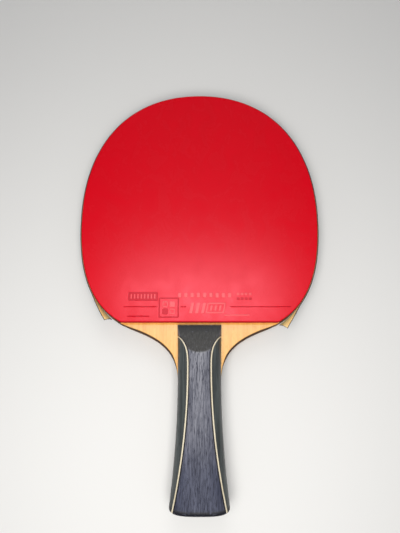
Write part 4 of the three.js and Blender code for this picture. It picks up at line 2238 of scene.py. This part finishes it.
@dataclass
class Studio:
    """Camera, floor and lights.

    Attributes:
        place: Where the paddle is.
        profile: The handle's profile, which the floor touches.
        bevel: Length of the bevel at the handle's upper end.
        focal: Focal length, in millimetres.
        sensor: Width of the camera's sensor, in millimetres.
        distance: From the camera to what it looks at.
        tilt: How far the camera leans from straight above, towards the handle.
        aim: What it looks at, about the handle's upper end and the blade's middle.
        lit: Height over the handle's upper end that the lamps point at.
        floor_size: Half the floor's length.
        floor_gap: Distance from the floor to the rim of the head.
        sky: Strength of the pale sky.
        lamps: The lamps.
    """

    place: Place
    profile: HandleProfile
    bevel: float = 16.5 * MM
    focal: float = 33.0
    sensor: float = 36.0
    distance: float = 304.1 * MM
    tilt: float = math.radians(17.4)
    aim: Point = (0.3 * MM, 37.9 * MM, 0.0)
    lit: float = 30 * MM
    floor_size: float = 3.0
    floor_gap: float = 0.05 * MM
    sky: float = 0.28
    lamps: tuple[Lamp, ...] = (
        Lamp("key", (-20 * MM, -160 * MM, 350 * MM), (220 * MM, 220 * MM), 1.45),
        Lamp("top", (0.0, 350 * MM, 500 * MM), (300 * MM, 300 * MM), 0.5),
        Lamp("gloss", (0.0, 127 * MM, 620 * MM), (280 * MM, 90 * MM), 3.0, (1.0, 0.99, 0.97), True),
    )

    def camera(self) -> None:
        """Sets up the camera at the viewing angle."""
        data = bpy.data.cameras.new("camera")
        data.lens = self.focal
        data.sensor_width = self.sensor
        camera = bpy.data.objects.new("camera", data)
        bpy.context.scene.collection.objects.link(camera)
        target = Vector(self.place.put([self.aim])[0])
        back = Vector((0.0, -math.sin(self.tilt), math.cos(self.tilt)))
        camera.location = target + back * self.distance
        camera.rotation_mode = "QUATERNION"
        camera.rotation_quaternion = (-back).to_track_quat("-Z", "Y")
        data.clip_start = 10 * MM
        bpy.context.scene.camera = camera

    def floor(self) -> None:
        """Lays a pale floor under the handle's back and the far rim of the head."""
        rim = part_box("back_topsheet")
        far_y, far_z = rim[1].y, rim[0].z
        handle = self.profile
        steps = np.linspace(-self.bevel, handle.end_y(0), 40)
        under = [(y + self.place.handle_top, self.place.middle - handle.crown_height(y)) for y in steps]
        slope = max((far_z - z) / (far_y - y) for y, z in under)
        size = self.floor_size
        corners = ((-size, -size), (size, -size), (size, size), (-size, size))
        points = [(x, y, far_z - self.floor_gap - (far_y - y) * slope) for x, y in corners]
        mesh = bpy.data.meshes.new("floor")
        mesh.from_pydata(points, [], [(0, 1, 2, 3)])
        mesh.materials.append(Backdrop("floor_paint", (0.72, 0.72, 0.71)).make())
        plane = bpy.data.objects.new("floor", mesh)
        bpy.context.scene.collection.objects.link(plane)

    def lights(self) -> None:
        """Hangs the lamps over the head, under a pale sky."""
        target = Vector((0.0, self.place.handle_top + self.lit, self.place.middle))
        for lamp in self.lamps:
            lamp.hang(target)
        world = bpy.data.worlds.new("sky")
        world.use_nodes = True
        background = world.node_tree.nodes["Background"]
        background.inputs["Color"].default_value = (0.95, 0.96, 1.0, 1.0)
        background.inputs["Strength"].default_value = self.sky
        bpy.context.scene.world = world
        bpy.context.scene.view_settings.view_transform = "Standard"

    def build(self) -> None:
        """Sets up everything."""
        self.camera()
        self.floor()
        self.lights()


# ---------------------------------------------------------------- paddle


def paddle_plan(place: Place) -> BladePlan:
    """Reads the paddle's main sizes from the CAD nodes.

    Args:
        place: Where the paddle is.

    Returns:
        The outline to build with.
    """
    core_low, core_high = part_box("core_ply")
    grip_low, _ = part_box("front_grip_centre")
    _, crown = face_heights("front_grip_centre", place)
    rubber_low, rubber_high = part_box("front_sponge")
    handle = HandleProfile(length=place.handle_top - grip_low.y, butt_crown=crown)
    return BladePlan(
        handle=handle,
        tip=core_high.y - place.handle_top,
        half_width=(core_high.x - core_low.x) / 2,
        gap=rubber_low.y - place.handle_top,
        inset=core_high.x - rubber_high.x,
        half_thickness=face_heights("front_face_veneer", place)[1],
    )


def grip_woods() -> dict[GripPart, Material]:
    """The woods of the handle.

    Returns:
        A material for each kind of lamination.
    """
    return {
        GripPart.CENTRE: Wood(
            "grip_centre_wood",
            linear(53, 56, 72),
            linear(117, 118, 129),
            linear(26, 28, 43),
            streak=0.45 * MM,
            pore_width=0.3 * MM,
            pore_share=0.6,
            rough=0.42,
            depth=0.05 * MM,
            end_cut=linear(61, 61, 60),
            # Darkest end grain colour; at the butt it also paints the shade of the rounding.
            end_edge=linear(8, 9, 22),
            # Painted shade: half the brightness is left at the butt.
            tone_change=0.5,
        ).make(),
        GripPart.LINE: Wood(
            "dark_line_wood", linear(18, 18, 26), linear(32, 31, 38), linear(10, 10, 14), rough=0.5
        ).make(),
        GripPart.INLAY: Wood(
            "pale_inlay_wood",
            linear(200, 188, 160),
            linear(222, 212, 188),
            linear(168, 150, 120),
            pore_share=0.15,
            rough=0.45,
        ).make(),
        GripPart.SIDE: Wood(
            "side_block_wood",
            linear(38, 43, 44),
            linear(73, 79, 79),
            linear(29, 32, 33),
            streak=1.2 * MM,
            pore_width=0.36 * MM,
            pore_share=0.4,
            rough=0.42,
            depth=0.04 * MM,
            end_cut=linear(40, 43, 44),
            # Darkest end grain colour; at the butt it also paints the shade of the rounding.
            end_edge=linear(14, 14, 20),
        ).make(),
    }


def report(pieces: Iterable[bpy.types.Object]) -> None:
    """Logs each piece with its number of faces.

    Args:
        pieces: The pieces.
    """
    for piece in pieces:
        LOG.info("%s: %d faces", piece.name, len(piece.data.polygons))


def main() -> None:
    """Builds the paddle and its studio."""
    logging.basicConfig(level=logging.INFO, format="%(message)s")
    place = Place.from_frame()
    plan = paddle_plan(place)
    Studio(place, plan.handle).build()
    report(Blade(plan, place).build())
    for face, finish in RUBBER_FINISHES.items():
        report(Rubber(face, plan, place, finish).build())
    report([EdgeTape(plan, place).build()])
    woods = grip_woods()
    for face in Face:
        report(HandleScale(face, plan.handle, place, plan.half_thickness).build(woods))


if __name__ == "__main__":
    main()
